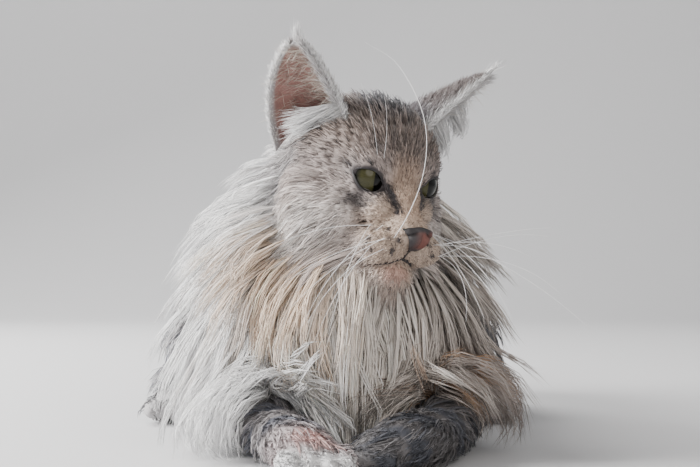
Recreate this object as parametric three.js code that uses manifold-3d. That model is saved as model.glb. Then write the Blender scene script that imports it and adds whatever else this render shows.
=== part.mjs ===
// A maine coon cat at rest, life size, in millimetres with +Z up. It lies on its chest and
// belly with the forelegs in front, faces -Y and turns its head towards +X, its own left.
// The long coat is built as flat tapered locks, rooted in a core that fills half of its depth.

import * as THREE from 'three';
import { mergeVertices } from 'three/addons/utils/BufferGeometryUtils.js';
import Module from 'manifold-3d';

const wasm = await Module();
wasm.setup();

// Clearance between nodes that touch, and the level of the floor.
const GAP = 0.3;
const FLOOR = 0;

// How much of the coat's depth the cores fill.
const CORE_SHARE = 0.45;

// The head's place and how it is turned, in degrees: turn to its left, nose down, left side down.
const HEAD = { x: 9, y: 32, z: 165, turn: 33, nod: 11, tilt: 5 };

const EYE = { radius: 12.3, side: 18.6, back: -26.8, up: 6.5, lid: 1.4, wide: 10.4, high: 6.2 };
const EAR = { side: 37, back: 13, up: 35, height: 68, width: 46, thick: 2.2 };
const TOE = { length: 15, radius: 7 };

const UP = new THREE.Vector3(0, 0, 1);
const DOWN = new THREE.Vector3(0, 0, -1);
const FRONT = new THREE.Vector3(0, -1, 0);
const vec = (x, y, z) => new THREE.Vector3(x, y, z);
const radians = THREE.MathUtils.degToRad;
const mix = THREE.MathUtils.lerp;

// A seeded random number from -1 to 1, so that every build is the same.
function drawer(seed) {
  let state = seed;
  return () => {
    state = (state * 1664525 + 1013904223) % 4294967296;
    return (state / 4294967296) * 2 - 1;
  };
}

// Solids from meshes.

// A closed surface of rings with the same number of points, closed by a point at each end.
// Each ring runs anticlockwise as seen from the last one.
function ringSurface(rings, first, last) {
  const sides = rings[0].length;
  const points = [first, ...rings.flat(), last];
  const at = (ring, side) => 1 + ring * sides + (side % sides);
  const faces = [];
  for (let side = 0; side < sides; side++) {
    faces.push(0, at(0, side + 1), at(0, side));
    for (let ring = 0; ring + 1 < rings.length; ring++) {
      const [a, b] = [at(ring, side), at(ring, side + 1)];
      const [c, d] = [at(ring + 1, side + 1), at(ring + 1, side)];
      faces.push(a, b, c, a, c, d);
    }
    faces.push(points.length - 1, at(rings.length - 1, side), at(rings.length - 1, side + 1));
  }
  return solidOf(points, faces);
}

function solidOf(points, faces) {
  const vertProperties = new Float32Array(points.flatMap((p) => [p.x, p.y, p.z]));
  return new wasm.Manifold(
    new wasm.Mesh({ numProp: 3, vertProperties, triVerts: new Uint32Array(faces) }),
  );
}

function solidFromGeometry(geometry) {
  const bare = geometry.clone();
  bare.deleteAttribute('normal');
  bare.deleteAttribute('uv');
  const merged = mergeVertices(bare, 1e-4);
  const position = merged.getAttribute('position');
  const points = Array.from({ length: position.count }, (_, i) =>
    vec().fromBufferAttribute(position, i),
  );
  return solidOf(points, Array.from(merged.index.array));
}

function join(solids) {
  return wasm.Manifold.union(solids.filter((solid) => solid));
}

// The largest closed piece of a solid, with what is cut loose left out.
function largest(solid) {
  return solid.decompose().reduce((a, b) => (b.volume() > a.volume() ? b : a));
}

function cut(solid, ...others) {
  return others.reduce((left, other) => left.subtract(other), solid);
}

function meshOf(name, solid, material) {
  const made = solid.getMesh();
  const geometry = new THREE.BufferGeometry();
  geometry.setAttribute('position', new THREE.BufferAttribute(made.vertProperties, 3));
  geometry.setIndex(new THREE.BufferAttribute(made.triVerts, 1));
  geometry.computeVertexNormals();
  const mesh = new THREE.Mesh(geometry, material);
  mesh.name = name;
  return mesh;
}

// All that lies below the floor.
const ground = (() => {
  const size = 2000;
  const box = new THREE.BoxGeometry(size, size, 200);
  box.translate(0, 0, FLOOR - 100);
  return solidFromGeometry(box);
})();

// A limb or trunk: an oval section carried along a smooth path. Each station gives the middle
// of the section, its half width, its half height and the coat's depth there.
class Limb {
  constructor(stations, up = UP) {
    this.path = new THREE.CatmullRomCurve3(
      stations.map((s) => vec(s.x, s.y, s.z)),
      false,
      'catmullrom',
    );
    this.sizes = new THREE.CatmullRomCurve3(
      stations.map((s) => vec(s.wide, s.high, s.coat)),
      false,
      'catmullrom',
    );
    this.up = up;
  }

  // Place and axes of the section at a share t of the way along.
  frame(t) {
    const step = 0.01;
    const at = this.path.getPoint(t);
    const along = this.path
      .getPoint(Math.min(1, t + step))
      .sub(this.path.getPoint(Math.max(0, t - step)))
      .normalize();
    const side = this.up.clone().cross(along).normalize();
    const rise = along.clone().cross(side);
    return { at, along, side, rise, size: this.sizes.getPoint(t) };
  }

  // The point of the core at t and at an angle round the section, with its outward direction.
  // The coat is half as deep where it is pressed on the floor or lies short on the back.
  point(t, angle, grow = 0) {
    const f = this.frame(t);
    const out = f.side
      .clone()
      .multiplyScalar(Math.cos(angle) / f.size.x)
      .addScaledVector(f.rise, Math.sin(angle) / f.size.y)
      .normalize();
    const coat = CORE_SHARE * f.size.z + grow;
    const at = f.at
      .clone()
      .addScaledVector(f.side, Math.cos(angle) * (f.size.x + coat))
      .addScaledVector(f.rise, Math.sin(angle) * (f.size.y + coat));
    return { at, out, along: f.along, coat: f.size.z };
  }

  solid(rings, sides, grow = 0, from = 0, to = 1) {
    const made = [];
    for (let i = 0; i <= rings; i++) {
      const t = mix(from, to, i / rings);
      const ring = [];
      for (let k = 0; k < sides; k++) {
        ring.push(this.point(t, (k / sides) * 2 * Math.PI, grow).at);
      }
      made.push(ring);
    }
    const [head, foot] = [this.frame(from), this.frame(to)];
    return ringSurface(
      made,
      head.at.clone().addScaledVector(head.along, -grow),
      foot.at.clone().addScaledVector(foot.along, grow),
    );
  }
}

// A flat lock of hair: three sides that taper along a bent line to a point. It leaves its root
// along one direction, lifts off the surface and droops by its own weight.
function lock(shape, grow = 0) {
  const { root, along, out, length, wide, thick, lift = 0.15, droop = 0.1 } = shape;
  const { sink = thick + 3 } = shape;
  const start = root.clone().addScaledVector(out, -sink - grow).addScaledVector(along, -2 - grow);
  const middle = root
    .clone()
    .addScaledVector(along, length * 0.45)
    .addScaledVector(out, length * lift);
  const end = root
    .clone()
    .addScaledVector(along, length + 4 * grow)
    .addScaledVector(out, length * lift * 0.8)
    .addScaledVector(DOWN, length * droop);
  const line = new THREE.QuadraticBezierCurve3(start, middle, end);
  const rings = [
    [0, 0.72, 1],
    [0.34, 1, 1],
    [0.7, 0.72, 0.8],
  ].map(([t, width, depth]) => {
    const at = line.getPoint(t);
    const tangent = line.getTangent(t);
    const side = out.clone().cross(tangent).normalize();
    const face = tangent.clone().cross(side);
    const half = (wide / 2) * width + 5 * grow;
    const [over, under] = [thick * depth + 1.6 * grow, thick * depth * 0.4 + 1.2 * grow];
    return [
      at.clone().addScaledVector(side, half).addScaledVector(face, -under),
      at.clone().addScaledVector(face, over),
      at.clone().addScaledVector(side, -half).addScaledVector(face, -under),
    ];
  });
  return ringSurface(rings, start, end);
}

// Locks in rows over part of a limb. The flow says which way the hair lies at a point.
function lockRows(limb, rows, grow, seed) {
  const draw = drawer(seed);
  const made = [];
  rows.forEach((row, number) => {
    for (let k = 0; k < row.count; k++) {
      const share = (k + 0.5 * (number % 2) + 0.25) / row.count + draw() * 0.012;
      const angle = radians(mix(row.from, row.to, share));
      const spot = limb.point(row.t + draw() * 0.012, angle);
      const flow = row.flow(spot);
      const along = flow.addScaledVector(spot.out, -flow.dot(spot.out)).normalize();
      made.push(
        lock(
          {
            root: spot.at,
            along,
            out: spot.out,
            length: row.length * (1 + 0.16 * draw()),
            wide: row.wide * (1 + 0.14 * draw()),
            thick: row.thick,
            lift: row.lift,
            droop: row.droop * (1 + 0.3 * draw()),
          },
          grow,
        ),
      );
    }
  });
  return made;
}

// The head, in its own frame: x to its left, y to its back, z up from the middle of the skull.

// Ovals that are blended into the head. Those with a side are doubled on the other one.
const HEAD_MASSES = {
  skull: { side: 0, back: 1, up: 14, half: [48, 43, 40] },
  nape: { side: 0, back: 20, up: -2, half: [38, 34, 34] },
  brow: { side: 0, back: -18, up: 18, half: [32, 21, 21] },
  cheek: { side: 28, back: -6, up: -15, half: [26, 29, 26] },
  lid: { side: EYE.side, back: EYE.back, up: EYE.up, half: [1, 1, 1] },
  bridgeTop: { side: 0, back: -33, up: 8, half: [12, 10.5, 12] },
  bridge: { side: 0, back: -41, up: -4, half: [11, 12, 12] },
  snout: { side: 0, back: -48, up: -16, half: [12, 13, 11] },
  pad: { side: 13.5, back: -45, up: -30, half: [15, 16.5, 11.5] },
  nose: { side: 0, back: -58, up: -20.5, half: [9, 8, 7] },
  chin: { side: 0, back: -43, up: -46.5, half: [13, 12, 9.5] },
  jaw: { side: 0, back: -17, up: -35, half: [28, 28, 17] },
};
HEAD_MASSES.lid.half = HEAD_MASSES.lid.half.map(() => EYE.radius + EYE.lid);
const BLEND = 9;

// Signed distance to an oval, near enough for blending.
function ovalDistance(p, { side, back, up, half }, flip) {
  const q = [p.x - side * flip, p.y - back, p.z - up];
  const near = Math.hypot(q[0] / half[0], q[1] / half[1], q[2] / half[2]);
  const slope = Math.hypot(q[0] / half[0] ** 2, q[1] / half[1] ** 2, q[2] / half[2] ** 2);
  return (near * (near - 1)) / Math.max(slope, 1e-6);
}

function smoothLeast(a, b, width) {
  const share = Math.max(width - Math.abs(a - b), 0) / width;
  return Math.min(a, b) - share * share * width * 0.25;
}

function headDistance(p) {
  let least = Infinity;
  for (const mass of Object.values(HEAD_MASSES)) {
    const blend = mass.half[1] < 16 ? BLEND * 0.5 : BLEND;
    for (const flip of mass.side ? [1, -1] : [1]) {
      least = least === Infinity
        ? ovalDistance(p, mass, flip)
        : smoothLeast(least, ovalDistance(p, mass, flip), blend);
    }
  }
  return least;
}

// How far the head reaches from its middle in a direction, found by halving.
function headReach(direction) {
  let [inside, outside] = [5, 110];
  for (let i = 0; i < 18; i++) {
    const half = (inside + outside) / 2;
    if (headDistance(direction.clone().multiplyScalar(half)) < 0) inside = half;
    else outside = half;
  }
  return inside;
}

// A direction from the middle of the head: degrees to its left and degrees up from its front.
function headward(left, up) {
  const [a, b] = [radians(left), radians(up)];
  return vec(Math.sin(a) * Math.cos(b), -Math.cos(a) * Math.cos(b), Math.sin(b));
}

function onHead(left, up, depth = 0) {
  const direction = headward(left, up);
  return direction.multiplyScalar(headReach(direction) - depth);
}

// Steps from one end to the other that are small near a focus and grow away from it.
function stepsFrom(from, to, focus, fine, growth) {
  const run = (end) => {
    const made = [];
    for (let at = focus, step = fine; Math.abs(at - focus) < Math.abs(end - focus); step *= growth) {
      at += Math.sign(end - focus) * step;
      made.push(at);
    }
    return made;
  };
  return [...run(from).reverse(), focus, ...run(to)];
}

// The twelve edges of a cell, each as its two corners.
const CELL_EDGES = [0, 1, 2].flatMap((axis) =>
  [0, 1, 2, 3].map((n) => {
    const corner = [n & 1, n >> 1];
    const from = [...corner.slice(0, axis), 0, ...corner.slice(axis)];
    return [from, from.map((c, i) => (i === axis ? 1 : c))];
  }),
);

// The surface where a distance is nought, as quads that join the middles of the cells it
// crosses. The cells are smaller over the face than at the nape.
function surfaceOf(distance, xs, ys, zs, grow) {
  const at = (i, j, k) => (i * ys.length + j) * zs.length + k;
  const values = new Float64Array(xs.length * ys.length * zs.length);
  xs.forEach((x, i) =>
    ys.forEach((y, j) =>
      zs.forEach((z, k) => {
        values[at(i, j, k)] = distance(vec(x, y, z));
      }),
    ),
  );
  const points = [];
  const indexOf = new Map();
  const cellPoint = (i, j, k) => {
    const key = at(i, j, k);
    if (!indexOf.has(key)) indexOf.set(key, points.push(middleOf(i, j, k)) - 1);
    return indexOf.get(key);
  };
  const middleOf = (i, j, k) => {
    const sum = vec();
    let count = 0;
    for (const [from, to] of CELL_EDGES) {
      const [a, b] = [from, to].map(([x, y, z]) => values[at(i + x, j + y, k + z)]);
      if (a < 0 === b < 0) continue;
      const [p, q] = [from, to].map(([x, y, z]) => vec(xs[i + x], ys[j + y], zs[k + z]));
      sum.add(p.lerp(q, a / (a - b)));
      count++;
    }
    return sum.divideScalar(count);
  };
  const faces = [];
  const quad = (inward, corners) => {
    let [a, b, c, d] = corners.map((corner) => cellPoint(...corner));
    if (points[a].distanceTo(points[c]) > points[b].distanceTo(points[d])) {
      [a, b, c, d] = [b, c, d, a];
    }
    if (inward) faces.push(a, c, b, a, d, c);
    else faces.push(a, b, c, a, c, d);
  };
  for (let i = 1; i + 1 < xs.length; i++) {
    for (let j = 1; j + 1 < ys.length; j++) {
      for (let k = 1; k + 1 < zs.length; k++) {
        const here = values[at(i, j, k)] < 0;
        const [x, y, z] = [at(i + 1, j, k), at(i, j + 1, k), at(i, j, k + 1)].map(
          (n) => values[n] < 0,
        );
        if (here !== x) quad(x, [[i, j - 1, k - 1], [i, j, k - 1], [i, j, k], [i, j - 1, k]]);
        if (here !== y) quad(y, [[i - 1, j, k - 1], [i - 1, j, k], [i, j, k], [i, j, k - 1]]);
        if (here !== z) quad(z, [[i - 1, j - 1, k], [i, j - 1, k], [i, j, k], [i - 1, j, k]]);
      }
    }
  }
  const grown = points.map((p) => p.clone().addScaledVector(slopeOf(distance, p), grow));
  return solidOf(grown, faces);
}

// The direction in which a distance grows fastest.
function slopeOf(distance, p) {
  const step = 0.5;
  const along = (x, y, z) =>
    distance(vec(p.x + x, p.y + y, p.z + z)) - distance(vec(p.x - x, p.y - y, p.z - z));
  return vec(along(step, 0, 0), along(0, step, 0), along(0, 0, step)).normalize();
}

function headCore(grow = 0) {
  return surfaceOf(
    headDistance,
    stepsFrom(-66, 66, 0.01, 5.4, 1.18),
    stepsFrom(-72, 64, -52, 5.2, 1.18),
    stepsFrom(-66, 64, -24, 5.2, 1.15),
    grow,
  );
}

// A round tube through points, closed at both ends, thinner towards the ends by a share.
function tube(points, radius, sides = 6, thin = 0.5) {
  const limb = new Limb(
    points.map((p, i) => {
      const off = Math.abs((2 * i) / (points.length - 1) - 1);
      const size = radius * (1 - thin * off * off);
      return { x: p.x, y: p.y, z: p.z, wide: size, high: size, coat: 0 };
    }),
    vec(0.31, 0.12, 0.94),
  );
  return limb.solid((points.length - 1) * 2, sides);
}

// The mouth: a line down from the nose, parting to both corners of the lips.
function mouthLines() {
  const lip = [0, 9, 18, 27, 36, 44].map((left, i) => [left, [-34, -38, -39, -38, -36, -35][i]]);
  const groove = 1.3;
  const halves = [1, -1].map((flip) =>
    tube(lip.map(([left, up]) => onHead(left * flip, up, 0.2)), groove, 6, 0.3),
  );
  return [...halves, tube([-24, -28, -34].map((up) => onHead(0, up, 0.2)), 1, 6, 0.2)];
}

function nostrils() {
  return [1, -1].map((flip) =>
    tube(
      [
        [2.6, -18.6],
        [4.4, -17.2],
        [7, -17.6],
      ].map(([left, up]) => onHead(left * flip, up, 0.2)),
      1.5,
      6,
      0.4,
    ),
  );
}

function eyeMiddle(flip) {
  return vec(EYE.side * flip, EYE.back, EYE.up);
}

// The axes of an eye: its gaze, the line from the inner to the outer corner, and up.
function eyeAxes(flip) {
  const gaze = vec(0.32 * flip, -0.95, 0).normalize();
  const level = vec(flip, 0, 0.42);
  const outer = level.addScaledVector(gaze, -level.dot(gaze)).normalize();
  const rise = outer.clone().cross(gaze).multiplyScalar(flip);
  return { gaze, outer, rise };
}

// The almond between the lids, as a bar along the gaze that cuts them open.
function eyeSlit(flip) {
  const { gaze, outer, rise } = eyeAxes(flip);
  const sides = 14;
  const ring = (depth) => {
    const made = [];
    for (let k = 0; k < sides; k++) {
      const angle = (k / sides) * 2 * Math.PI * -flip;
      const across = Math.cos(angle);
      const high = Math.sin(angle) * EYE.high * (1 - 0.42 * across * across);
      made.push(
        eyeMiddle(flip)
          .addScaledVector(gaze, depth)
          .addScaledVector(outer, across * EYE.wide)
          .addScaledVector(rise, high + 0.8),
      );
    }
    return made;
  };
  const [from, to] = [2, 30];
  const middle = (depth) => eyeMiddle(flip).addScaledVector(gaze, depth);
  return ringSurface([ring(from), ring(to)], middle(from), middle(to));
}

function eyeball(flip, grow = 0) {
  const ball = new THREE.SphereGeometry(EYE.radius + grow, 12, 8);
  ball.rotateX(Math.PI / 2);
  ball.translate(...eyeMiddle(flip).toArray());
  return solidFromGeometry(ball);
}

// Tufts of longer hair on each cheek, from below the ear to the jaw.
function cheekLocks(grow) {
  const made = [];
  for (const flip of [1, -1]) {
    [
      [74, 2],
      [84, -14],
      [70, -22],
      [82, -34],
      [64, -44],
    ].forEach(([left, up]) => {
      const root = onHead(left * flip, up, -0.5);
      const out = root.clone().normalize();
      const flow = vec(0.4 * flip, 0.75, -0.75);
      const along = flow.addScaledVector(out, -flow.dot(out)).normalize();
      made.push(lock({ root, along, out, length: 34, wide: 20, thick: 4, lift: 0.22 }, grow));
    });
  }
  return made;
}

function head(grow = 0) {
  const whole = join([headCore(grow), ...cheekLocks(grow)]);
  if (grow) return whole;
  const openings = [1, -1].flatMap((flip) => [eyeSlit(flip), eyeball(flip, GAP)]);
  return cut(whole, ...mouthLines(), ...nostrils(), ...openings);
}

// A point of an ear's shell, at a share v of the way to its tip and a share from -1 at its
// front edge to 1 at its back edge, with its distance behind the middle of the shell.
function earPoint(flip, v, share, behind = 0) {
  const { base, axis, open, side } = earAxes(flip);
  const above = THREE.MathUtils.clamp(v, 0, 1);
  const width = EAR.width * Math.pow(1 - Math.pow(above, 2.1), 0.8) + 3;
  const spread = radians(mix(84, 50, above));
  const radius = width / 2 / Math.sin(spread);
  const angle = spread * share;
  const shell = radius + behind;
  return base
    .clone()
    .addScaledVector(axis, EAR.height * (v - 0.16) - 13 * share * (1 - above))
    .addScaledVector(side, shell * Math.sin(angle) + 3 * Math.sin(above * Math.PI))
    .addScaledVector(open, radius * Math.cos(spread) - shell * Math.cos(angle) + 7);
}

// An ear: a cupped shell that narrows to its tip, open to the side and front. Both faces are
// split alike, so that they keep their distance. The back edge starts lower than the front.
function earShell(flip, grow = 0) {
  const [rows, columns] = [7, 8];
  const past = (2 * grow) / EAR.height;
  const face = (behind) =>
    Array.from({ length: rows + 1 }, (_, i) =>
      Array.from({ length: columns + 1 }, (_, k) => {
        const share = ((2 * k) / columns - 1) * (1 + grow / 12);
        return earPoint(flip, mix(-past, 1 + past, i / rows), share, behind);
      }),
    );
  return shellOf(face(EAR.thick / 2 + grow), face(-EAR.thick / 2 - grow));
}

// A closed shell from two grids of points, joined round their edges.
function shellOf(outer, inner) {
  const [rows, columns] = [outer.length, outer[0].length];
  const points = [...outer.flat(), ...inner.flat()];
  const at = (grid, i, k) => (grid * rows + i) * columns + k;
  const faces = [];
  const quad = (a, b, c, d) => faces.push(a, b, c, a, c, d);
  for (let i = 0; i + 1 < rows; i++) {
    for (let k = 0; k + 1 < columns; k++) {
      faces.push(at(0, i, k), at(0, i, k + 1), at(0, i + 1, k + 1));
      faces.push(at(0, i, k), at(0, i + 1, k + 1), at(0, i + 1, k));
      faces.push(at(1, i, k), at(1, i + 1, k + 1), at(1, i, k + 1));
      faces.push(at(1, i, k), at(1, i + 1, k), at(1, i + 1, k + 1));
    }
    quad(at(0, i, 0), at(0, i + 1, 0), at(1, i + 1, 0), at(1, i, 0));
    const last = columns - 1;
    quad(at(0, i + 1, last), at(0, i, last), at(1, i, last), at(1, i + 1, last));
  }
  for (let k = 0; k + 1 < columns; k++) {
    const last = rows - 1;
    quad(at(0, 0, k + 1), at(0, 0, k), at(1, 0, k), at(1, 0, k + 1));
    quad(at(0, last, k), at(0, last, k + 1), at(1, last, k + 1), at(1, last, k));
  }
  const made = solidOf(points, faces);
  if (made.volume() > 0) return made;
  for (let i = 0; i < faces.length; i += 3) {
    [faces[i + 1], faces[i + 2]] = [faces[i + 2], faces[i + 1]];
  }
  return solidOf(points, faces);
}

// Where an ear grows, the line to its tip, the way its cup opens and the way to its back edge.
function earAxes(flip) {
  const axis = vec(0.5 * flip, -0.31, 0.8).normalize();
  const toOpen = vec(0.8 * flip, -0.6, 0);
  const open = toOpen.addScaledVector(axis, -toOpen.dot(axis)).normalize();
  const side = axis.clone().cross(open).multiplyScalar(flip);
  return { base: vec(EAR.side * flip, EAR.back, EAR.up), axis, open, side };
}

// The tuft on the ear's tip and the long hair that sweeps across the cup from its front edge.
function earLocks(flip, grow) {
  const { axis, open, side } = earAxes(flip);
  const shape = { wide: 9, thick: 2, sink: 0.5, lift: 0.16 };
  const tip = earPoint(flip, 0.93, 0);
  const made = [
    lock(
      { ...shape, root: tip, along: axis, out: open, length: 17, wide: 6, lift: 0, droop: 0 },
      grow,
    ),
  ];
  [0.3, 0.42, 0.55].forEach((v, i) => {
    const root = earPoint(flip, v, -0.86);
    const along = side.clone().addScaledVector(axis, -0.55).addScaledVector(open, 0.2);
    along.normalize();
    made.push(lock({ ...shape, root, along, out: open, length: 44 - 5 * i }, grow));
  });
  return made;
}

function ear(flip, grow = 0) {
  return join([earShell(flip, grow), ...earLocks(flip, grow)]);
}

// The trunk from the chest to the rump.
const trunk = new Limb([
  { x: 0, y: 40, z: 84, wide: 46, high: 54, coat: 26 },
  { x: -2, y: 95, z: 86, wide: 62, high: 68, coat: 30 },
  { x: -6, y: 180, z: 80, wide: 66, high: 70, coat: 38 },
  { x: -10, y: 265, z: 76, wide: 64, high: 66, coat: 40 },
  { x: -14, y: 345, z: 72, wide: 62, high: 62, coat: 38 },
  { x: -18, y: 410, z: 62, wide: 46, high: 48, coat: 34 },
  { x: -19, y: 436, z: 56, wide: 22, high: 26, coat: 24 },
]);

function trunkLocks(grow) {
  const flow = ({ along, out }) =>
    along.clone().addScaledVector(DOWN, 0.25 + 0.75 * (1 - out.z)).addScaledVector(out, 0.1);
  const rows = [0.31, 0.5, 0.69, 0.88].map((t) => ({
    t,
    from: -22,
    to: 202,
    count: 7,
    length: 96,
    wide: 48,
    thick: 7,
    lift: 0.2,
    droop: 0.12,
    flow,
  }));
  return lockRows(trunk, rows, grow, 11);
}

function torso(grow = 0) {
  return join([trunk.solid(9, 16, grow), ...trunkLocks(grow)]);
}

// The neck and breast: an upright column that carries the ruff from the jaw to the floor.
const mane = new Limb(
  [
    { x: -6, y: 60, z: 20, wide: 60, high: 46, coat: 42 },
    { x: -8, y: 58, z: 50, wide: 64, high: 50, coat: 48 },
    { x: -10, y: 62, z: 85, wide: 62, high: 50, coat: 50 },
    { x: -12, y: 72, z: 118, wide: 56, high: 42, coat: 48 },
    { x: -10, y: 84, z: 148, wide: 50, high: 34, coat: 42 },
    { x: -4, y: 94, z: 172, wide: 42, high: 28, coat: 34 },
    { x: 2, y: 100, z: 190, wide: 26, high: 16, coat: 20 },
  ],
  FRONT,
);

function maneLocks(grow) {
  const middle = vec(HEAD.x, HEAD.y + 34, HEAD.z + 24);
  const flow = ({ at }) => at.clone().sub(middle).setY(0).normalize().addScaledVector(DOWN, 0.9);
  const rows = [
    { t: 0.21, count: 8, length: 60, wide: 33, from: 4, to: 176 },
    { t: 0.4, count: 8, length: 88, wide: 36, from: -4, to: 184 },
    { t: 0.57, count: 8, length: 86, wide: 35, from: -14, to: 194 },
    { t: 0.73, count: 7, length: 74, wide: 34, from: -26, to: 206 },
    { t: 0.88, count: 5, length: 58, wide: 34, from: -36, to: 216 },
  ].map((row) => ({ ...row, thick: 6, lift: 0.26, droop: 0.08, flow }));
  return lockRows(mane, rows, grow, 23);
}

function neck() {
  return join([mane.solid(7, 18), ...maneLocks(0)]);
}

// Toes side by side at the end of a foot.
function toes({ at, toward, side, spread, count = 4 }, grow) {
  return Array.from({ length: count }, (_, i) => {
    const off = (i - (count - 1) / 2) * spread;
    const reach = TOE.length * (1 - 0.12 * Math.abs(off / spread));
    const root = at.clone().addScaledVector(side, off).addScaledVector(toward, -TOE.length * 0.7);
    const stations = [0, 0.55, 1].map((share, k) => {
      const p = root.clone().addScaledVector(toward, share * (reach + TOE.length * 0.7));
      const size = TOE.radius * [0.9, 1, 0.55][k] + grow;
      return { x: p.x, y: p.y, z: p.z, wide: size, high: size, coat: 0 };
    });
    return new Limb(stations).solid(3, 6);
  });
}

// Forelegs. The right one, at -X, reaches forward, and the left one folds its paw in.
const FORELEGS = {
  right: {
    upper: [
      { x: -44, y: 92, z: 96, wide: 24, high: 30, coat: 18 },
      { x: -62, y: 112, z: 62, wide: 24, high: 28, coat: 18 },
      { x: -72, y: 122, z: 30, wide: 20, high: 22, coat: 14 },
    ],
    lower: [
      { x: -76, y: 134, z: 25, wide: 20, high: 20, coat: 14 },
      { x: -62, y: 70, z: 22, wide: 19, high: 18, coat: 12 },
      { x: -42, y: -8, z: 18, wide: 16, high: 15, coat: 8 },
      { x: -28, y: -52, z: 15, wide: 18, high: 13, coat: 6 },
      { x: -22, y: -72, z: 12, wide: 17, high: 10, coat: 4 },
    ],
    toes: { at: vec(-19, -80, 10), toward: vec(0.22, -0.97, -0.05), spread: 10 },
  },
  left: {
    upper: [
      { x: 38, y: 92, z: 92, wide: 24, high: 30, coat: 18 },
      { x: 54, y: 98, z: 60, wide: 23, high: 28, coat: 18 },
      { x: 62, y: 102, z: 30, wide: 20, high: 22, coat: 12 },
    ],
    lower: [
      { x: 64, y: 112, z: 22, wide: 19, high: 19, coat: 12 },
      { x: 60, y: 56, z: 20, wide: 19, high: 17, coat: 11 },
      { x: 46, y: -14, z: 18, wide: 18, high: 15, coat: 9 },
      { x: 30, y: -46, z: 16, wide: 17, high: 14, coat: 7 },
      { x: 16, y: -53, z: 13, wide: 16, high: 11, coat: 5 },
    ],
    toes: { at: vec(12, -52, 10), toward: vec(-0.97, 0.16, -0.05), spread: 9 },
  },
};

function forelegLocks(lower, seed, grow) {
  const flow = ({ along, out }) =>
    along.clone().negate().addScaledVector(out, 0.2).addScaledVector(DOWN, 0.5);
  const rows = [0.12, 0.34, 0.52].map((t, i) => ({
    t,
    from: 15,
    to: 175,
    count: 3,
    length: 42 - 6 * i,
    wide: 24 - 3 * i,
    thick: 4.5,
    lift: 0.14,
    droop: 0.08,
    flow,
  }));
  return lockRows(lower, rows, grow, seed);
}

function foreleg(which, grow = 0) {
  const shape = FORELEGS[which];
  const [upper, lower] = [new Limb(shape.upper, FRONT), new Limb(shape.lower)];
  const side = shape.toes.toward.clone().cross(UP).normalize();
  return join([
    upper.solid(3, 12, grow),
    lower.solid(7, 12, grow),
    ...toes({ ...shape.toes, side }, grow),
    ...forelegLocks(lower, which === 'left' ? 31 : 37, grow),
  ]);
}

// Hind legs: the thigh folded forward on the long foot.
function hindlegParts(flip) {
  const x = (out) => -14 + flip * out;
  return {
    thigh: new Limb(
      [
        { x: x(52), y: 396, z: 58, wide: 26, high: 34, coat: 26 },
        { x: x(70), y: 350, z: 62, wide: 34, high: 48, coat: 28 },
        { x: x(84), y: 300, z: 54, wide: 32, high: 42, coat: 26 },
        { x: x(92), y: 256, z: 42, wide: 23, high: 26, coat: 18 },
      ],
    ),
    foot: new Limb(
      [
        { x: x(98), y: 378, z: 17, wide: 16, high: 16, coat: 12 },
        { x: x(107), y: 310, z: 16, wide: 15, high: 13, coat: 8 },
        { x: x(112), y: 246, z: 15, wide: 17, high: 13, coat: 6 },
        { x: x(113), y: 222, z: 12, wide: 16, high: 10, coat: 4 },
      ],
    ),
    toes: { at: vec(x(114), 214, 10), toward: vec(0.05 * flip, -1, -0.05), side: vec(1, 0, 0) },
  };
}

function hindlegLocks(thigh, flip, grow) {
  const flow = ({ along, out }) =>
    along.clone().negate().addScaledVector(DOWN, 1.1).addScaledVector(out, 0.3);
  const [from, to] = flip < 0 ? [-20, 100] : [80, 200];
  const rows = [0.16, 0.44, 0.72].map((t) => ({
    t,
    from,
    to,
    count: 3,
    length: 56,
    wide: 34,
    thick: 5.5,
    lift: 0.22,
    droop: 0.06,
    flow,
  }));
  return lockRows(thigh, rows, grow, 41 + flip);
}

function hindleg(flip, grow = 0) {
  const { thigh, foot, toes: front } = hindlegParts(flip);
  return join([
    thigh.solid(6, 14, grow),
    foot.solid(5, 10, grow),
    ...toes({ ...front, spread: 9 }, grow),
    ...hindlegLocks(thigh, flip, grow),
  ]);
}

// The tail, laid on the floor behind the rump and hooked to the cat's right.
const brush = new Limb([
  { x: -18, y: 404, z: 62, wide: 17, high: 17, coat: 26 },
  { x: -16, y: 452, z: 46, wide: 14, high: 14, coat: 40 },
  { x: -2, y: 510, z: 34, wide: 12, high: 11, coat: 50 },
  { x: 6, y: 566, z: 30, wide: 11, high: 9, coat: 54 },
  { x: -12, y: 618, z: 28, wide: 10, high: 8, coat: 56 },
  { x: -56, y: 650, z: 27, wide: 9, high: 7, coat: 54 },
  { x: -104, y: 656, z: 25, wide: 7, high: 6, coat: 44 },
  { x: -132, y: 652, z: 20, wide: 4, high: 4, coat: 20 },
]);

function tailLength(from, to, rows, seed, grow = 0) {
  const flow = ({ along, out }) => along.clone().addScaledVector(out, 0.25);
  const locks = lockRows(
    brush,
    rows.map((t) => ({
      t,
      from: -14,
      to: 194,
      count: 4,
      length: 66,
      wide: 42,
      thick: 6,
      lift: 0.3,
      droop: 0.08,
      flow,
    })),
    grow,
    seed,
  );
  return join([brush.solid(4, 12, grow, from, to), ...locks]);
}

// Nodes, each cut clear of those that it touches.

const poseOfHead = new THREE.Matrix4()
  .makeRotationFromEuler(
    new THREE.Euler(radians(HEAD.nod), radians(HEAD.tilt), radians(HEAD.turn), 'ZXY'),
  )
  .setPosition(HEAD.x, HEAD.y, HEAD.z);
const posed = (solid) => solid.transform(poseOfHead.toArray());

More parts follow.
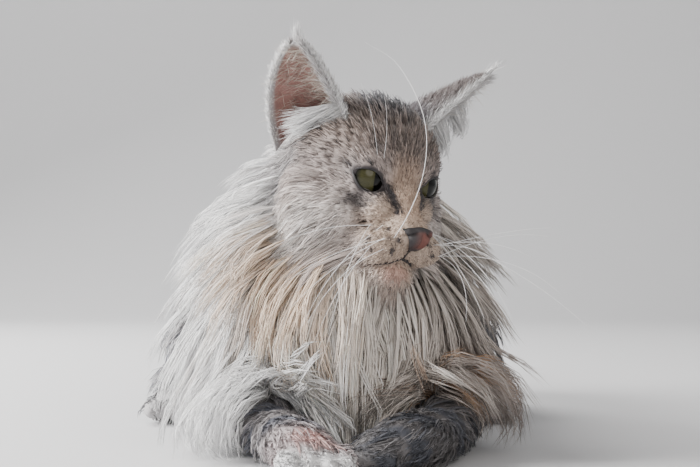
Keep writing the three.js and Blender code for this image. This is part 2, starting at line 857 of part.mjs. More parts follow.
const grownHead = posed(head(GAP));
const legs = {
  foreleg_right: foreleg('right'),
  foreleg_left: foreleg('left'),
  hindleg_right: hindleg(-1),
  hindleg_left: hindleg(1),
};
const grownLegs = [foreleg('right', GAP), foreleg('left', GAP), hindleg(-1, GAP), hindleg(1, GAP)];
legs.foreleg_left = cut(legs.foreleg_left, grownLegs[0]);
legs.hindleg_left = cut(legs.hindleg_left, grownLegs[2]);
const grownTorso = torso(GAP);
const ears = {
  ear_right: cut(posed(ear(-1)), grownHead),
  ear_left: cut(posed(ear(1)), grownHead),
};
const grownEars = [-1, 1].map((flip) => posed(ear(flip, GAP)));
const tailSplit = [0, 0.36, 0.68, 1];

const solids = {
  head: posed(head()),
  eye_right: posed(eyeball(-1)),
  eye_left: posed(eyeball(1)),
  ...ears,
  neck: cut(neck(), grownHead, grownTorso, ...grownLegs, ...grownEars),
  torso: cut(torso(), grownHead, ...grownLegs),
  ...legs,
  tail_base: cut(tailLength(tailSplit[0], tailSplit[1], [0.12, 0.25], 51), grownTorso),
  tail_middle: cut(
    tailLength(tailSplit[1], tailSplit[2], [0.42, 0.55], 53),
    tailLength(tailSplit[0], tailSplit[1], [0.12, 0.25], 51, GAP),
  ),
  tail_tip: cut(
    tailLength(tailSplit[2], tailSplit[3], [0.72, 0.85], 57),
    tailLength(tailSplit[1], tailSplit[2], [0.42, 0.55], 53, GAP),
  ),
};

const COAT = {
  head: 0x8d8a8c,
  ears: 0xa9a3a3,
  ruff: 0xd9d6d6,
  flank: 0x8f8c90,
  legs: 0x77737a,
  tail: 0x7f7b80,
};
const fur = (color) => new THREE.MeshStandardMaterial({ color, roughness: 0.85, metalness: 0 });
const glassy = new THREE.MeshStandardMaterial({ color: 0x6f7150, roughness: 0.08, metalness: 0 });
const finishes = {
  head: fur(COAT.head),
  eye_right: glassy,
  eye_left: glassy,
  ear_right: fur(COAT.ears),
  ear_left: fur(COAT.ears),
  neck: fur(COAT.ruff),
  torso: fur(COAT.flank),
  foreleg_right: fur(COAT.legs),
  foreleg_left: fur(COAT.legs),
  hindleg_right: fur(COAT.flank),
  hindleg_left: fur(COAT.flank),
  tail_base: fur(COAT.tail),
  tail_middle: fur(COAT.tail),
  tail_tip: fur(COAT.tail),
};

const cat = new THREE.Group();
for (const [name, solid] of Object.entries(solids)) {
  cat.add(meshOf(name, largest(cut(solid, ground)), finishes[name]));
}

// The origin is the middle of the cat's box, on the floor.
const box = new THREE.Box3().setFromObject(cat);
const middle = box.getCenter(vec());
cat.position.set(-middle.x, -middle.y, -FLOOR);

export default cat;
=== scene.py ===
"""A lying maine coon cat: its skin, long coat, eyes, nose, whiskers and a plain studio.

Shapes are worked out in millimetres in the cat's own working frame, where +Y runs from the nose
to the tail, and are moved into the model's frame, in metres, when a mesh is made.
"""

import bpy
import numpy as np
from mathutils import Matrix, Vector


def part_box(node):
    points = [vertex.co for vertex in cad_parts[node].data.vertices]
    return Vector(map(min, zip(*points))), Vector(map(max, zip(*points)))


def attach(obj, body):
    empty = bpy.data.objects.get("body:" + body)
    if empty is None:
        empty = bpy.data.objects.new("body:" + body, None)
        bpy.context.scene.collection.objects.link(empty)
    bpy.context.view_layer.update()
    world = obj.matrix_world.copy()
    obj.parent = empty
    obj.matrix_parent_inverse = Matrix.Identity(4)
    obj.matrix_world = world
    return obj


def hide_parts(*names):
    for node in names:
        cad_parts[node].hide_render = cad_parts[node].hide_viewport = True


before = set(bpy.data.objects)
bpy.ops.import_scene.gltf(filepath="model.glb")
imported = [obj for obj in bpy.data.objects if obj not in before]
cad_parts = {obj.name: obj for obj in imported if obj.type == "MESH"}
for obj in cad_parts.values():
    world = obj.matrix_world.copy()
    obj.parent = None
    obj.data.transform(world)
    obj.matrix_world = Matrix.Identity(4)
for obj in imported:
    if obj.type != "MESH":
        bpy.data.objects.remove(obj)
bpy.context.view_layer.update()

bl_info = {
    "name": "Lying maine coon cat",
    "version": (1, 0, 0),
    "blender": (4, 5, 0),
    "location": "3D View > Sidebar > Cat",
    "description": "Builds a long-haired cat with skin, coat, eyes and whiskers in a plain studio",
    "category": "Object",
}

# The least height of the skin, how far from a limb and from the head's middle their distances
# are worked out, and the millimetres in a metre.
FLOOR = 0.6
FAR = 40.0
HEAD_FAR = 120
MM = 1000
DOWN = np.array([0.0, 0.0, -1.0])
TAU = 2 * np.pi

# A hair's thickness as a share of its width, its widths from the root as shares of the widest,
# the size of its patch on the map and how far that strays, and the limits of a hair's shade.
HAIR_FLAT = 0.7
LONG_TAPER, SHORT_TAPER = (1.0, 1.0, 0.85, 0.6, 0.4), (1.0, 0.85, 0.5)
PATCH, PATCH_STRAY = 0.003, 0.0008
DARKEST, LIGHTEST = 0.004, 0.94

# What a user may change.

def length_property(name, about, default):
    return bpy.props.FloatProperty(
        name=name, description=about, default=default, min=default / 4, max=default * 3,
        subtype="DISTANCE", unit="LENGTH", precision=4)


def color_property(name, about, default):
    return bpy.props.FloatVectorProperty(
        name=name, description=about, default=default, size=3, min=0, max=1, subtype="COLOR")


class CatSizes(bpy.types.PropertyGroup):
    """Lengths of the coat's parts and the whiskers' thickness."""

    ruff: length_property("Ruff", "Length of the ruff's longest hair", 0.086)
    cheeks: length_property("Cheeks", "Length of the hair that falls from the cheeks", 0.034)
    flanks: length_property("Flanks", "Length of the hair of the body's sides", 0.062)
    forelegs: length_property("Forelegs", "Length of the hair of the forelegs", 0.022)
    paws: length_property("Paws", "Length of the hair of the forepaws", 0.0075)
    tail: length_property("Tail", "Length of the tail's hair", 0.064)
    whiskers: length_property("Whiskers", "Radius of a whisker at its root", 0.00017)


class CatColors(bpy.types.PropertyGroup):
    """Colours of the coat, skin, eyes and floor."""

    silver: color_property(
        "Silver", "Silver hair of the face and body", (0.5, 0.485, 0.49))
    white: color_property(
        "White", "White hair of the ruff and ear rims", (0.9, 0.895, 0.9))
    cream: color_property(
        "Cream", "Cream hair of the muzzle and breast", (0.8, 0.72, 0.63))
    tan: color_property(
        "Tan", "Tan hair at the throat", (0.52, 0.37, 0.25))
    grey: color_property(
        "Grey", "Grey hair of the legs", (0.27, 0.255, 0.26))
    slate: color_property(
        "Slate", "Dark grey of the crown and the tabby swirls", (0.07, 0.074, 0.09))
    # Soot also paints the shade under the eyes and in their inner corners.
    soot: color_property(
        "Soot", "Near black of the face markings and lid rims", (0.03, 0.026, 0.028))
    tawny: color_property(
        "Tawny", "Tawny hair low on the left breast", (0.4, 0.21, 0.085))
    pink: color_property(
        "Pink", "Pink skin of the chin and paw", (0.62, 0.3, 0.26))
    ear_pink: color_property(
        "Ear pink", "Pink brown skin inside the ears", (0.27, 0.145, 0.125))
    iris: color_property("Iris", "Olive of the iris", (0.052, 0.050, 0.020))
    floor: color_property("Floor", "Pale floor of the studio", (0.6, 0.6, 0.61))


def size(name):
    """A length that the user may change, in millimetres."""
    return getattr(bpy.context.scene.cat_sizes, name) * MM


def tone(name):
    """A colour that the user may change."""
    return np.array(getattr(bpy.context.scene.cat_colors, name))


# The head's place and how it is turned, in degrees, as in the solids.
HEAD_PLACE = np.array([9.0, 32.0, 165.0])
HEAD_TURN, HEAD_NOD, HEAD_TILT = 33, 11, 5

EYE_RADIUS, EYE_SIDE, EYE_BACK, EYE_UP = 12.3, 18.6, -26.8, 6.5
EYE_WIDE, EYE_HIGH, EYE_TAPER, EYE_LIFT = 10.4, 6.2, 0.42, 0.8
EAR_BASE, EAR_HEIGHT, EAR_WIDTH, EAR_THICK = (37, 13, 35), 68, 46, 2.2
NOSE_TIP = np.array([0.0, -62.0, -20.0])

# Ovals blended into the head: side, back, up, half width, half depth, half height.
HEAD_MASSES = {
    "skull": (0, 1, 14, 48, 43, 40),
    "nape": (0, 20, -2, 38, 34, 34),
    "brow": (0, -18, 18, 32, 21, 21),
    "cheek": (28, -6, -15, 26, 29, 26),
    "lid": (18.6, -26.8, 6.5, 13.7, 13.7, 13.7),
    "bridge_top": (0, -33, 8, 12, 10.5, 12),
    "bridge": (0, -41, -4, 11, 12, 12),
    "snout": (0, -48, -16, 12, 13, 11),
    "pad": (13.5, -45, -30, 15, 16.5, 11.5),
    "tear_side": (14, -36, -9, 11, 12, 12),
    "nose": (0, -58, -20.5, 11.5, 8, 7),
    "chin": (0, -43, -46.5, 13, 12, 9.5),
    "jaw": (0, -17, -35, 28, 28, 17),
}

# Sections along each limb: x, y, z of the middle, half width, half height and coat depth.
TRUNK = [
    (0, 40, 84, 46, 54, 26), (-2, 95, 86, 62, 68, 30), (-6, 180, 80, 66, 70, 38),
    (-10, 265, 76, 64, 66, 40), (-14, 345, 72, 62, 62, 38), (-18, 410, 62, 46, 48, 34),
    (-19, 436, 56, 22, 26, 24),
]
MANE = [
    (-6, 60, 20, 60, 46, 42), (-8, 58, 50, 64, 50, 48), (-10, 62, 85, 62, 50, 50),
    (-12, 72, 118, 56, 42, 48), (-10, 84, 148, 50, 34, 42), (-4, 94, 172, 42, 28, 34),
    (2, 100, 190, 26, 16, 20),
]
TAIL = [
    (-18, 404, 62, 17, 17, 26), (-16, 452, 46, 14, 14, 40), (-2, 510, 34, 12, 11, 50),
    (6, 566, 30, 11, 9, 54), (-12, 618, 28, 10, 8, 56), (-56, 650, 27, 9, 7, 54),
    (-104, 656, 25, 7, 6, 44), (-132, 652, 20, 4, 4, 20),
]
FORELEG_RIGHT = {
    "upper": [(-44, 92, 96, 24, 30, 18), (-62, 112, 62, 24, 28, 18), (-72, 122, 30, 20, 22, 14)],
    "lower": [
        (-76, 134, 25, 20, 20, 14), (-62, 70, 22, 19, 18, 12), (-42, -8, 18, 16, 15, 8),
        (-28, -52, 15, 18, 13, 6), (-22, -72, 12, 17, 10, 4),
    ],
    "toes": ((-19, -80, 10), (0.22, -0.97, -0.05), 10),
}
FORELEG_LEFT = {
    "upper": [(38, 92, 92, 24, 30, 18), (54, 98, 60, 23, 28, 18), (62, 102, 30, 20, 22, 12)],
    "lower": [
        (64, 112, 22, 19, 19, 12), (60, 56, 20, 19, 17, 11), (46, -14, 18, 18, 15, 9),
        (30, -46, 16, 17, 14, 7), (16, -53, 13, 16, 11, 5),
    ],
    "toes": ((12, -52, 10), (-0.97, 0.16, -0.05), 9),
}


def hindleg(flip):
    """Stations of a folded hind leg on the cat's left (flip 1) or right (flip -1)."""
    x = lambda out: -14 + flip * out
    return {
        "upper": [
            (x(52), 396, 58, 26, 34, 26), (x(70), 350, 62, 34, 48, 28),
            (x(84), 300, 54, 32, 42, 26), (x(92), 256, 42, 23, 26, 18),
        ],
        "lower": [
            (x(98), 378, 17, 16, 16, 12), (x(107), 310, 16, 15, 13, 8),
            (x(112), 246, 15, 17, 13, 6), (x(113), 222, 12, 16, 10, 4),
        ],
        "toes": ((x(114), 214, 10), (0.05 * flip, -1, -0.05), 9),
    }


def unit(v):
    """Vectors divided by their lengths."""
    v = np.asarray(v, float)
    return v / np.maximum(np.linalg.norm(v, axis=-1, keepdims=True), 1e-9)


def dot(a, b):
    """The product of vectors, kept as a column."""
    return np.sum(a * b, axis=-1, keepdims=True)


def smooth(low, high, x):
    """0 below low, 1 above high and an S curve between."""
    t = np.clip((x - low) / (high - low), 0, 1)
    return t * t * (3 - 2 * t)


def mix(a, b, share):
    """A share of the way from a to b."""
    return a + (b - a) * share


def oval(q, half):
    """Distance outside an oval, to first order: n (n - 1) / s, where n is the length of q over
    the half sizes, and s that of q over their squares."""
    near = np.linalg.norm(q / half, axis=-1)
    slope = np.maximum(np.linalg.norm(q / half ** 2, axis=-1), 1e-6)
    return near * (near - 1) / slope


def head_matrix():
    """Turn about Z, then nod about X, then tilt about Y, as columns of the head's axes."""
    a, b, c = np.radians([HEAD_TURN, HEAD_NOD, HEAD_TILT])
    turn = np.array([[np.cos(a), -np.sin(a), 0], [np.sin(a), np.cos(a), 0], [0, 0, 1]])
    nod = np.array([[1, 0, 0], [0, np.cos(b), -np.sin(b)], [0, np.sin(b), np.cos(b)]])
    tilt = np.array([[np.cos(c), 0, np.sin(c)], [0, 1, 0], [-np.sin(c), 0, np.cos(c)]])
    return turn @ nod @ tilt


HEAD_AXES = head_matrix()


def to_head(points):
    """Places in the head's own frame, from places in the working frame."""
    return (points - HEAD_PLACE) @ HEAD_AXES


def from_head(points):
    """Places in the working frame, from places in the head's own frame."""
    return np.asarray(points, float) @ HEAD_AXES.T + HEAD_PLACE


def turned(directions):
    """Directions in the working frame, from directions in the head's own frame."""
    return np.asarray(directions, float) @ HEAD_AXES.T


def eye_middle(flip):
    """The middle of an eyeball in the head's frame: flip is 1 on the cat's left, -1 on its right."""
    return np.array([EYE_SIDE * flip, EYE_BACK, EYE_UP])


def frame_shift():
    """From the working frame to the model's, found from where the near eye is in the model."""
    low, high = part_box("eye_right")
    return (np.array(low) + np.array(high)) * (MM / 2) - from_head(eye_middle(-1))


SHIFT = frame_shift()


def spline(stations, t):
    """Smooth curve through the stations, each with an equal share of t from 0 to 1."""
    points = np.asarray(stations, float)
    padded = np.vstack([2 * points[0] - points[1], points, 2 * points[-1] - points[-2]])
    place = np.clip(t, 0, 1) * (len(points) - 1)
    index = np.minimum(place.astype(int), len(points) - 2)
    w = (place - index)[..., None]
    p0, p1, p2, p3 = (padded[index + k] for k in range(4))
    a, b = 0.5 * (p2 - p0), 0.5 * (p3 - p1)
    return p1 + w * (a + w * ((3 * (p2 - p1) - 2 * a - b) + w * (2 * (p1 - p2) + a + b)))


class Limb:
    """An oval section carried along a smooth path, with the coat's depth along it."""

    def __init__(self, label, stations, up=(0, 0, 1), blend=10.0, samples=40):
        t = np.linspace(0, 1, samples)
        made = spline(stations, t)
        self.label, self.blend, self.samples = label, blend, samples
        self.at, self.size = made[:, :3], made[:, 3:]
        self.along = unit(np.gradient(self.at, axis=0))
        self.side = unit(np.cross(np.asarray(up, float), self.along))
        self.rise = np.cross(self.along, self.side)
        steps = np.linalg.norm(np.diff(self.at, axis=0), axis=1)
        self.step = np.interp(np.arange(samples), np.arange(samples - 1) + 0.5, steps)
        reach = self.size[:, :2].max() + FAR
        self.low, self.high = self.at.min(0) - reach, self.at.max(0) + reach

    def near(self, points):
        """Which points lie in the box round the limb and its surroundings."""
        return np.all((points > self.low) & (points < self.high), axis=1)

    def locate(self, points):
        """Distance outside the oval tube, share t along it and angle round it, of points.

        The nearest sample is moved along the path by the point's offset from it, and the
        distance is that of the section's oval, to first order.
        """
        gap = (points ** 2).sum(1)[:, None] - 2 * points @ self.at.T + (self.at ** 2).sum(1)
        index = gap.argmin(1)
        off = ((points - self.at[index]) * self.along[index]).sum(1) / self.step[index]
        place = np.clip(index + off, 0, self.samples - 1)
        low = np.minimum(place.astype(int), self.samples - 2)
        w = (place - low)[:, None]
        at, along, side, rise, section = (
            mix(a[low], a[low + 1], w)
            for a in (self.at, self.along, self.side, self.rise, self.size)
        )
        out = points - at
        wide, high = section[:, 0], section[:, 1]
        q = np.stack([(out * side).sum(1), (out * rise).sum(1), (out * along).sum(1)], 1)
        half = np.stack([wide, high, np.minimum(wide, high)], 1)
        angle = np.arctan2(q[:, 1] / high, q[:, 0] / wide)
        return oval(q, half), place / (self.samples - 1), angle

    def depth(self, t):
        """The coat's depth at a share t along."""
        return np.interp(t, np.linspace(0, 1, self.samples), self.size[:, 2])

    def heading(self, t):
        """The path's direction at a share t along."""
        return self.along[np.clip((t * (self.samples - 1)).astype(int), 0, self.samples - 1)]


def toe_limbs(label, at, toward, spread, length=15, radius=7):
    """Four short rounded limbs side by side at the end of a foot."""
    at, toward = np.array(at, float), np.array(toward, float)
    side = unit(np.cross(toward, -DOWN))
    for number in range(4):
        off = (number - 1.5) * spread
        reach = length * (1 - 0.12 * abs(off / spread))
        root = at + side * off - toward * length * 0.7
        ends = [root + toward * share * (reach + length * 0.7) for share in (0, 0.55, 1)]
        sizes = [radius * 0.9, radius, radius * 0.55]
        yield Limb(label, [(*p, s, s, 3) for p, s in zip(ends, sizes)], blend=2.5, samples=7)


def all_limbs():
    """The trunk, the neck with its ruff, the tail and the four legs with their toes."""
    front = (0, -1, 0)
    made = [Limb("trunk", TRUNK, blend=16), Limb("mane", MANE, front, blend=16)]
    made.append(Limb("tail", TAIL, blend=8, samples=60))
    legs = {"foreleg_right": FORELEG_RIGHT, "foreleg_left": FORELEG_LEFT}
    legs |= {"hindleg_right": hindleg(-1), "hindleg_left": hindleg(1)}
    for name, leg in legs.items():
        up = front if name.startswith("fore") else (0, 0, 1)
        made.append(Limb(name + ".upper", leg["upper"], up, blend=12, samples=24))
        made.append(Limb(name + ".lower", leg["lower"], blend=5))
        made.extend(toe_limbs(name + ".toes", *leg["toes"]))
    return made


LIMBS = all_limbs()
LABELS = ["head"] + [limb.label for limb in LIMBS]


def smooth_least(a, b, width):
    """The lesser of two distances, less width h^2 / 4 where h = 1 - |a - b| / width is over 0."""
    share = np.maximum(width - np.abs(a - b), 0) / width
    return np.minimum(a, b) - share * share * width * 0.25


def head_distance(local):
    """Distance outside the head's blended ovals, in the head's own frame."""
    least = None
    for side, back, up, *half in HEAD_MASSES.values():
        half = np.array(half, float)
        for flip in (1, -1) if side else (1,):
            d = oval(local - np.array([side * flip, back, up]), half)
            width = 4.5 if half[1] < 16 else 9.0
            least = d if least is None else smooth_least(least, d, width)
    return least


def eye_axes(flip):
    """Gaze, the line to the outer corner, and up, of an eye opening in the head's frame."""
    gaze = unit([0.32 * flip, -0.95, 0])
    level = np.array([flip, 0, 0.42])
    outer = unit(level - gaze * np.dot(level, gaze))
    return gaze, outer, np.cross(outer, gaze) * flip


def almond(local, flip):
    """Distance outside the eye opening as seen along the gaze, and depth along the gaze."""
    gaze, outer, rise = eye_axes(flip)
    q = local - eye_middle(flip)
    across = np.clip((q @ outer) / EYE_WIDE, -1, 1)
    half = np.sqrt(1 - across ** 2) * EYE_HIGH * (1 - EYE_TAPER * across ** 2)
    beyond = np.maximum(np.abs(q @ outer) - EYE_WIDE, 0)
    over = np.abs(q @ rise - EYE_LIFT) - half
    return np.hypot(beyond, np.maximum(over, 0)) + np.minimum(over, 0), q @ gaze


def to_polyline(points, line):
    """Distance from points to a line through a few points."""
    line = np.asarray(line, float)
    best = np.full(len(points), 1e9)
    for a, b in zip(line[:-1], line[1:]):
        ab = b - a
        share = np.clip(((points - a) @ ab) / (ab @ ab), 0, 1)[:, None]
        best = np.minimum(best, np.linalg.norm(points - a - share * ab, axis=1))
    return best


def mirrored(line):
    """A line on the head's other side."""
    return [(-x, y, z) for x, y, z in line]


MOUTH = [(0, -57, -36), (-4.6, -56, -37.5), (-8.2, -52.4, -39.7), (-13.7, -45.7, -42.7),
         (-17.5, -36, -44.7), (-20, -27, -44)]
# The inner corner of each eye, painted near black and kept bare: partly its dark skin, partly
# painted shade.
CANTHUS = np.array([(12.2, -40.5, 3.6), (10.6, -42.8, 0.6), (9.0, -46.5, -3.4)])
PHILTRUM = [(0, -64, -27), (0, -60.5, -31.5), (0, -57, -36)]


def from_nose(local):
    """Distance from the tip of the nose."""
    return np.linalg.norm(local - NOSE_TIP, axis=1)


def to_lips(local):
    """Distance from the line between the lips, on both sides."""
    return np.minimum(to_polyline(local, MOUTH), to_polyline(local, mirrored(MOUTH)))


def hair_depth(local):
    """How far the face's skin lies under the short coat: least at the nose and the eyes."""
    depth = mix(0.5, 5.0, smooth(6, 75, from_nose(local)))
    depth += 2.5 * smooth(26, 44, np.abs(local[:, 0])) * smooth(6, -14, local[:, 2])
    for flip in (1, -1):
        eye = np.linalg.norm(local - eye_middle(flip) - [0, -10, 0], axis=1)
        depth = mix(np.minimum(depth, 0.6), depth, smooth(9, 24, eye))
    lips = np.minimum(to_lips(local), to_polyline(local, PHILTRUM))
    return depth + 1.8 * np.exp(-((lips / 1.9) ** 2))


def head_skin(local):
    """The head's skin: under the coat's depth, with the eye openings sunk in."""
    skin = head_distance(local) + hair_depth(local)
    for flip in (1, -1):
        outline, deep = almond(local, flip)
        skin = np.maximum(skin, -np.maximum(outline - 0.3, 8.5 - deep))
    return skin


def body_distance(points, labels=False):
    """Distance outside the whole skin, blended where its parts meet, and the nearest part."""
    best = np.full(len(points), FAR)
    nearest = np.zeros(len(points), int)
    least = np.full(len(points), FAR)
    local = to_head(points)
    close = np.linalg.norm(local, axis=1) < HEAD_FAR
    best[close] = head_skin(local[close])
    least[close] = best[close]
    for number, limb in enumerate(LIMBS, 1):
        close = limb.near(points)
        if not close.any():
            continue
        d = limb.locate(points[close])[0]
        nearest[close] = np.where(d < least[close], number, nearest[close])
        least[close] = np.minimum(least[close], d)
        best[close] = smooth_least(best[close], d, limb.blend)
    best = np.maximum(best, FLOOR - points[:, 2])
    return (best, nearest) if labels else best


def slope_of(distance, points, step=0.6):
    """Distance at points and the direction in which it grows fastest."""
    here = distance(points)
    moved = [distance(points + step * axis) - here for axis in np.eye(3)]
    return here, unit(np.stack(moved, 1))


def spread_steps(low, high, fine_low, fine_high, fine, coarse):
    """Places from low to high, a fine step apart between two limits and growing outside."""
    def outwards(at, limit, way, growth=1.12):
        """Places up to a limit, where each step grows on the last until it is coarse."""
        step, made = fine, []
        while (limit - at) * way > 0:
            step = min(step * growth, coarse)
            at += way * step
            made.append(at)
        return made

    middle = list(np.arange(fine_low, fine_high, fine))
    return np.array(outwards(fine_low, low, -1)[::-1] + middle + outwards(middle[-1], high, 1))


def surface_of(distance, xs, ys, zs):
    """The surface where a distance is nought, as points and quads.

    Each cell that the surface crosses gives one point, the mean of the crossings on its edges,
    and each grid edge that it crosses gives the quad of the four cells round that edge.
    """
    shape = (len(xs), len(ys), len(zs))
    values = np.empty(shape)
    for i, x in enumerate(xs):
        slab = np.stack(np.meshgrid([x], ys, zs, indexing="ij"), -1).reshape(-1, 3)
        values[i] = distance(slab).reshape(shape[1:])
    grid = np.meshgrid(xs, ys, zs, indexing="ij")
    cells = tuple(n - 1 for n in shape)
    total, count = np.zeros(cells + (3,)), np.zeros(cells)
    crossings = []
    for axis in range(3):
        ahead = [slice(None)] * 3
        behind = [slice(None)] * 3
        ahead[axis], behind[axis] = slice(1, None), slice(None, -1)
        a, b = values[tuple(behind)], values[tuple(ahead)]
        index = np.argwhere((a < 0) != (b < 0))
        va, vb = a[tuple(index.T)], b[tuple(index.T)]
        place = np.stack([g[tuple(index.T)] for g in grid], 1)
        step = np.diff((xs, ys, zs)[axis])[index[:, axis]]
        place[:, axis] += step * va / (va - vb)
        crossings.append((axis, index, va < 0))
        others = [k for k in range(3) if k != axis]
        for da in (0, 1):
            for db in (0, 1):
                cell = index.copy()
                cell[:, others[0]] -= da
                cell[:, others[1]] -= db
                good = np.all((cell >= 0) & (cell < cells), axis=1)
                np.add.at(total, tuple(cell[good].T), place[good])
                np.add.at(count, tuple(cell[good].T), 1)
    used = count > 0
    number = np.cumsum(used).reshape(cells) - 1
    points = total[used] / count[used][:, None]
    quads = []
    for axis, index, inside in crossings:
        u, v = (axis + 1) % 3, (axis + 2) % 3
        corners = []
        for du, dv in ((1, 1), (0, 1), (0, 0), (1, 0)):
            cell = index.copy()
            cell[:, u] -= du
            cell[:, v] -= dv
            corners.append(number[tuple(np.clip(cell, 0, np.array(cells) - 1).T)])
        quad = np.stack(corners, 1)
        quads.append(np.where(inside[:, None], quad, quad[:, ::-1]))
    return points, np.concatenate(quads)


def new_mesh(name, points, faces, material):
    """A mesh object in the model's frame from points in millimetres and equal-sided faces."""
    points, faces = np.asarray(points, float), np.asarray(faces, np.int32)
    mesh = bpy.data.meshes.new(name)
    mesh.vertices.add(len(points))
    mesh.vertices.foreach_set("co", ((points + SHIFT) / MM).astype(np.float32).ravel())
    mesh.loops.add(faces.size)
    mesh.loops.foreach_set("vertex_index", faces.ravel())
    mesh.polygons.add(len(faces))
    starts = np.arange(len(faces), dtype=np.int32) * faces.shape[1]
    mesh.polygons.foreach_set("loop_start", starts)
    mesh.update(calc_edges=True)
    mesh.polygons.foreach_set("use_smooth", np.ones(len(faces), bool))
    mesh.materials.append(material)
    made = bpy.data.objects.new(name, mesh)
    bpy.context.scene.collection.objects.link(made)
    return made


def paint(made, colors, name="tint"):
    """A colour for each vertex, kept as an attribute that the materials read."""
    attribute = made.data.attributes.new(name, "FLOAT_COLOR", "POINT")
    full = np.concatenate([colors, np.ones((len(colors), 1))], 1).astype(np.float32)
    attribute.data.foreach_set("color", full.ravel())


def lay_map(made, uv, name="OFBake"):
    """A UV map from one pair of numbers for each vertex."""
    layer = made.data.uv_layers.new(name=name)
    corner = np.empty(len(made.data.loops), np.int32)
    made.data.loops.foreach_get("vertex_index", corner)
    layer.data.foreach_set("uv", uv[corner].astype(np.float32).ravel())


def ripple(points, size, seed):
    """Smooth noise from -1 to 1: a sum of plane waves in seeded directions."""
    draw = np.random.default_rng(seed)
    total = np.zeros(len(points))
    for _ in range(7):
        way = unit(draw.normal(size=3)) * TAU / size * draw.uniform(0.6, 1.7)
        total += np.sin(points @ way + draw.uniform(0, TAU))
    return total / 3.2


# Markings and painted shade. Each function gives a colour for points from their place alone.

# Dark strokes of the face in the head's frame, its markings and the painted shade under the eyes:
# line, half width, strength, mirrored or not.
STROKES = {
    "eye_line": ([(-31, -33, 12), (-37, -26.4, 9.7), (-46, -19, 0.5), (-53.7, -4, -11.7)],
                 3.4, 0.85, True),
    "cheek_line": ([(-25.6, -35, -4), (-34, -32, -5), (-44.3, -27.4, -8.6), (-52.6, -15, -16)],
                   3.0, 0.8, True),
    "low_cheek_line": ([(-34, -34, -15), (-43.4, -29, -18.3), (-50, -20, -24)], 2.6, 0.55, True),
    "tear": ([(-10.4, -42, 1.5), (-9.0, -47, -3.5), (-7.6, -52.6, -8.6)], 3.0, 1.0, True),
    "brow_line": ([(-7, -40, 24), (-9, -34, 35), (-12, -24, 44), (-13, -8, 50)], 2.6, 0.7, True),
    "outer_brow": ([(-17, -37, 23), (-22, -29, 33), (-26, -18, 42)], 2.4, 0.65, True),
    "temple_line": ([(-30, -30, 24), (-37, -18, 30), (-41, -4, 32)], 2.4, 0.6, True),
    "mid_brow": ([(0, -38, 30), (0, -30, 41), (0, -16, 50)], 2.4, 0.65, False),
    "ear_streak": ([(-26, 6, 45), (-34, 12, 39), (-41, 19, 27)], 5.5, 0.7, True),
    # Painted shade under the eyes: broad dark bands below both eyes, and one more below the far eye.
    "shade_under_far_eye": ([(17, -41, -2), (25, -37, -4), (33, -33, -10)], 6.0, 0.8, False),
    "shade_under_eye": ([(-13, -41, -3), (-21, -37, -6.5), (-28, -34, -7)], 6.0, 0.85, True),
    "bridge_side": ([(10, -42, 2), (9, -50, -6), (8.5, -56, -12)], 2.2, 0.7, False),
}
SPOT_ROWS = [
    [(-23, -40, -20), (-13.5, -54, -18.4)],
    [(-25.5, -50, -25.6), (-9.5, -60.6, -24.4)],
    [(-27, -50, -32), (-13, -61, -30)],
]


def crown_patch(local):
    """The dark patch between the ears: 1 inside an oval whose edge wavers, and 0 outside."""
    off = (local - [3, -12, 51]) / [29, 25, 14]
    return smooth(1.15, 0.55, np.linalg.norm(off, axis=1) + 0.12 * ripple(local, 9, 5))


def head_marks_and_shade(local):
    """How dark the face is painted, from 0 to 1: its markings, and painted shade under the eyes and
    in their inner corners.
    """
    dark = np.zeros(len(local))
    waver = 0.6 * ripple(local, 7, 6)
    for line, width, strength, both in STROKES.values():
        off = to_polyline(local, line)
        if both:
            off = np.minimum(off, to_polyline(local, mirrored(line)))
        dark = np.maximum(dark, strength * smooth(width * 1.5, width * 0.3, off + waver))
    for row in SPOT_ROWS:
        a, b = np.array(row)
        for share in np.linspace(0.05, 0.95, 4):
            spot = mix(a, b, share)
            for flip in (1, -1):
                off = np.linalg.norm(local - spot * [flip, 1, 1], axis=1)
                dark = np.maximum(dark, 0.97 * smooth(2.5, 1.4, off))
    # Dark lid rims round the openings, and the inner corners painted near black, partly as dark skin
    # and partly as painted shade.
    for flip in (1, -1):
        outline, deep = almond(local, flip)
        rim = smooth(3.6, 1.4, outline) * (deep > 0)
        corner = to_polyline(local, CANTHUS * [flip, 1, 1])
        dark = np.maximum(dark, 0.95 * np.maximum(rim, smooth(3.4, 1.8, corner)))
    return dark


def head_color(local):
    """Base colour of the head's coat before its dark markings, darker and warmer at the front of the
    face, partly as the coat's warm tone and partly as painted shade.
    """
    front = smooth(-10, -42, local[:, 1])
    up = local[:, 2]
    color = mix(tone("silver") * 0.92, tone("white") * 0.9, smooth(8, -16, up)[:, None])
    color = mix(color, tone("silver") * [0.80, 0.74, 0.68], (smooth(8, 30, up) * 0.75)[:, None])
    muzzle = smooth(44, 22, from_nose(local))
    color = mix(color, tone("cream") * 0.88, muzzle[:, None])
    side = smooth(20, 44, np.abs(local[:, 0])) * smooth(4, -18, up)
    color = mix(color, tone("white") * 0.95, side[:, None])
    bridge = smooth(13, 5, np.abs(local[:, 0])) * smooth(-20, -8, up) * front * smooth(26, 12, up)
    color = mix(color, tone("cream") * [0.80, 0.72, 0.66], (0.65 * bridge)[:, None])
    chin = smooth(13, 5, np.linalg.norm((local - [-3, -55, -44]) / [1.0, 1, 0.6], axis=1))
    color = mix(color, tone("pink") * 1.15, (0.36 * chin)[:, None])
    # Darker and warmer at the front of the face, less on the pale cheeks: partly the coat's warm
    # tone, partly painted shade on the face.
    warm = mix(np.array([0.80, 0.70, 0.65]), np.array([0.92, 0.86, 0.82]), side[:, None])
    return color * mix(warm, np.array([0.95, 0.93, 0.93]), smooth(0, 22, local[:, 1])[:, None])


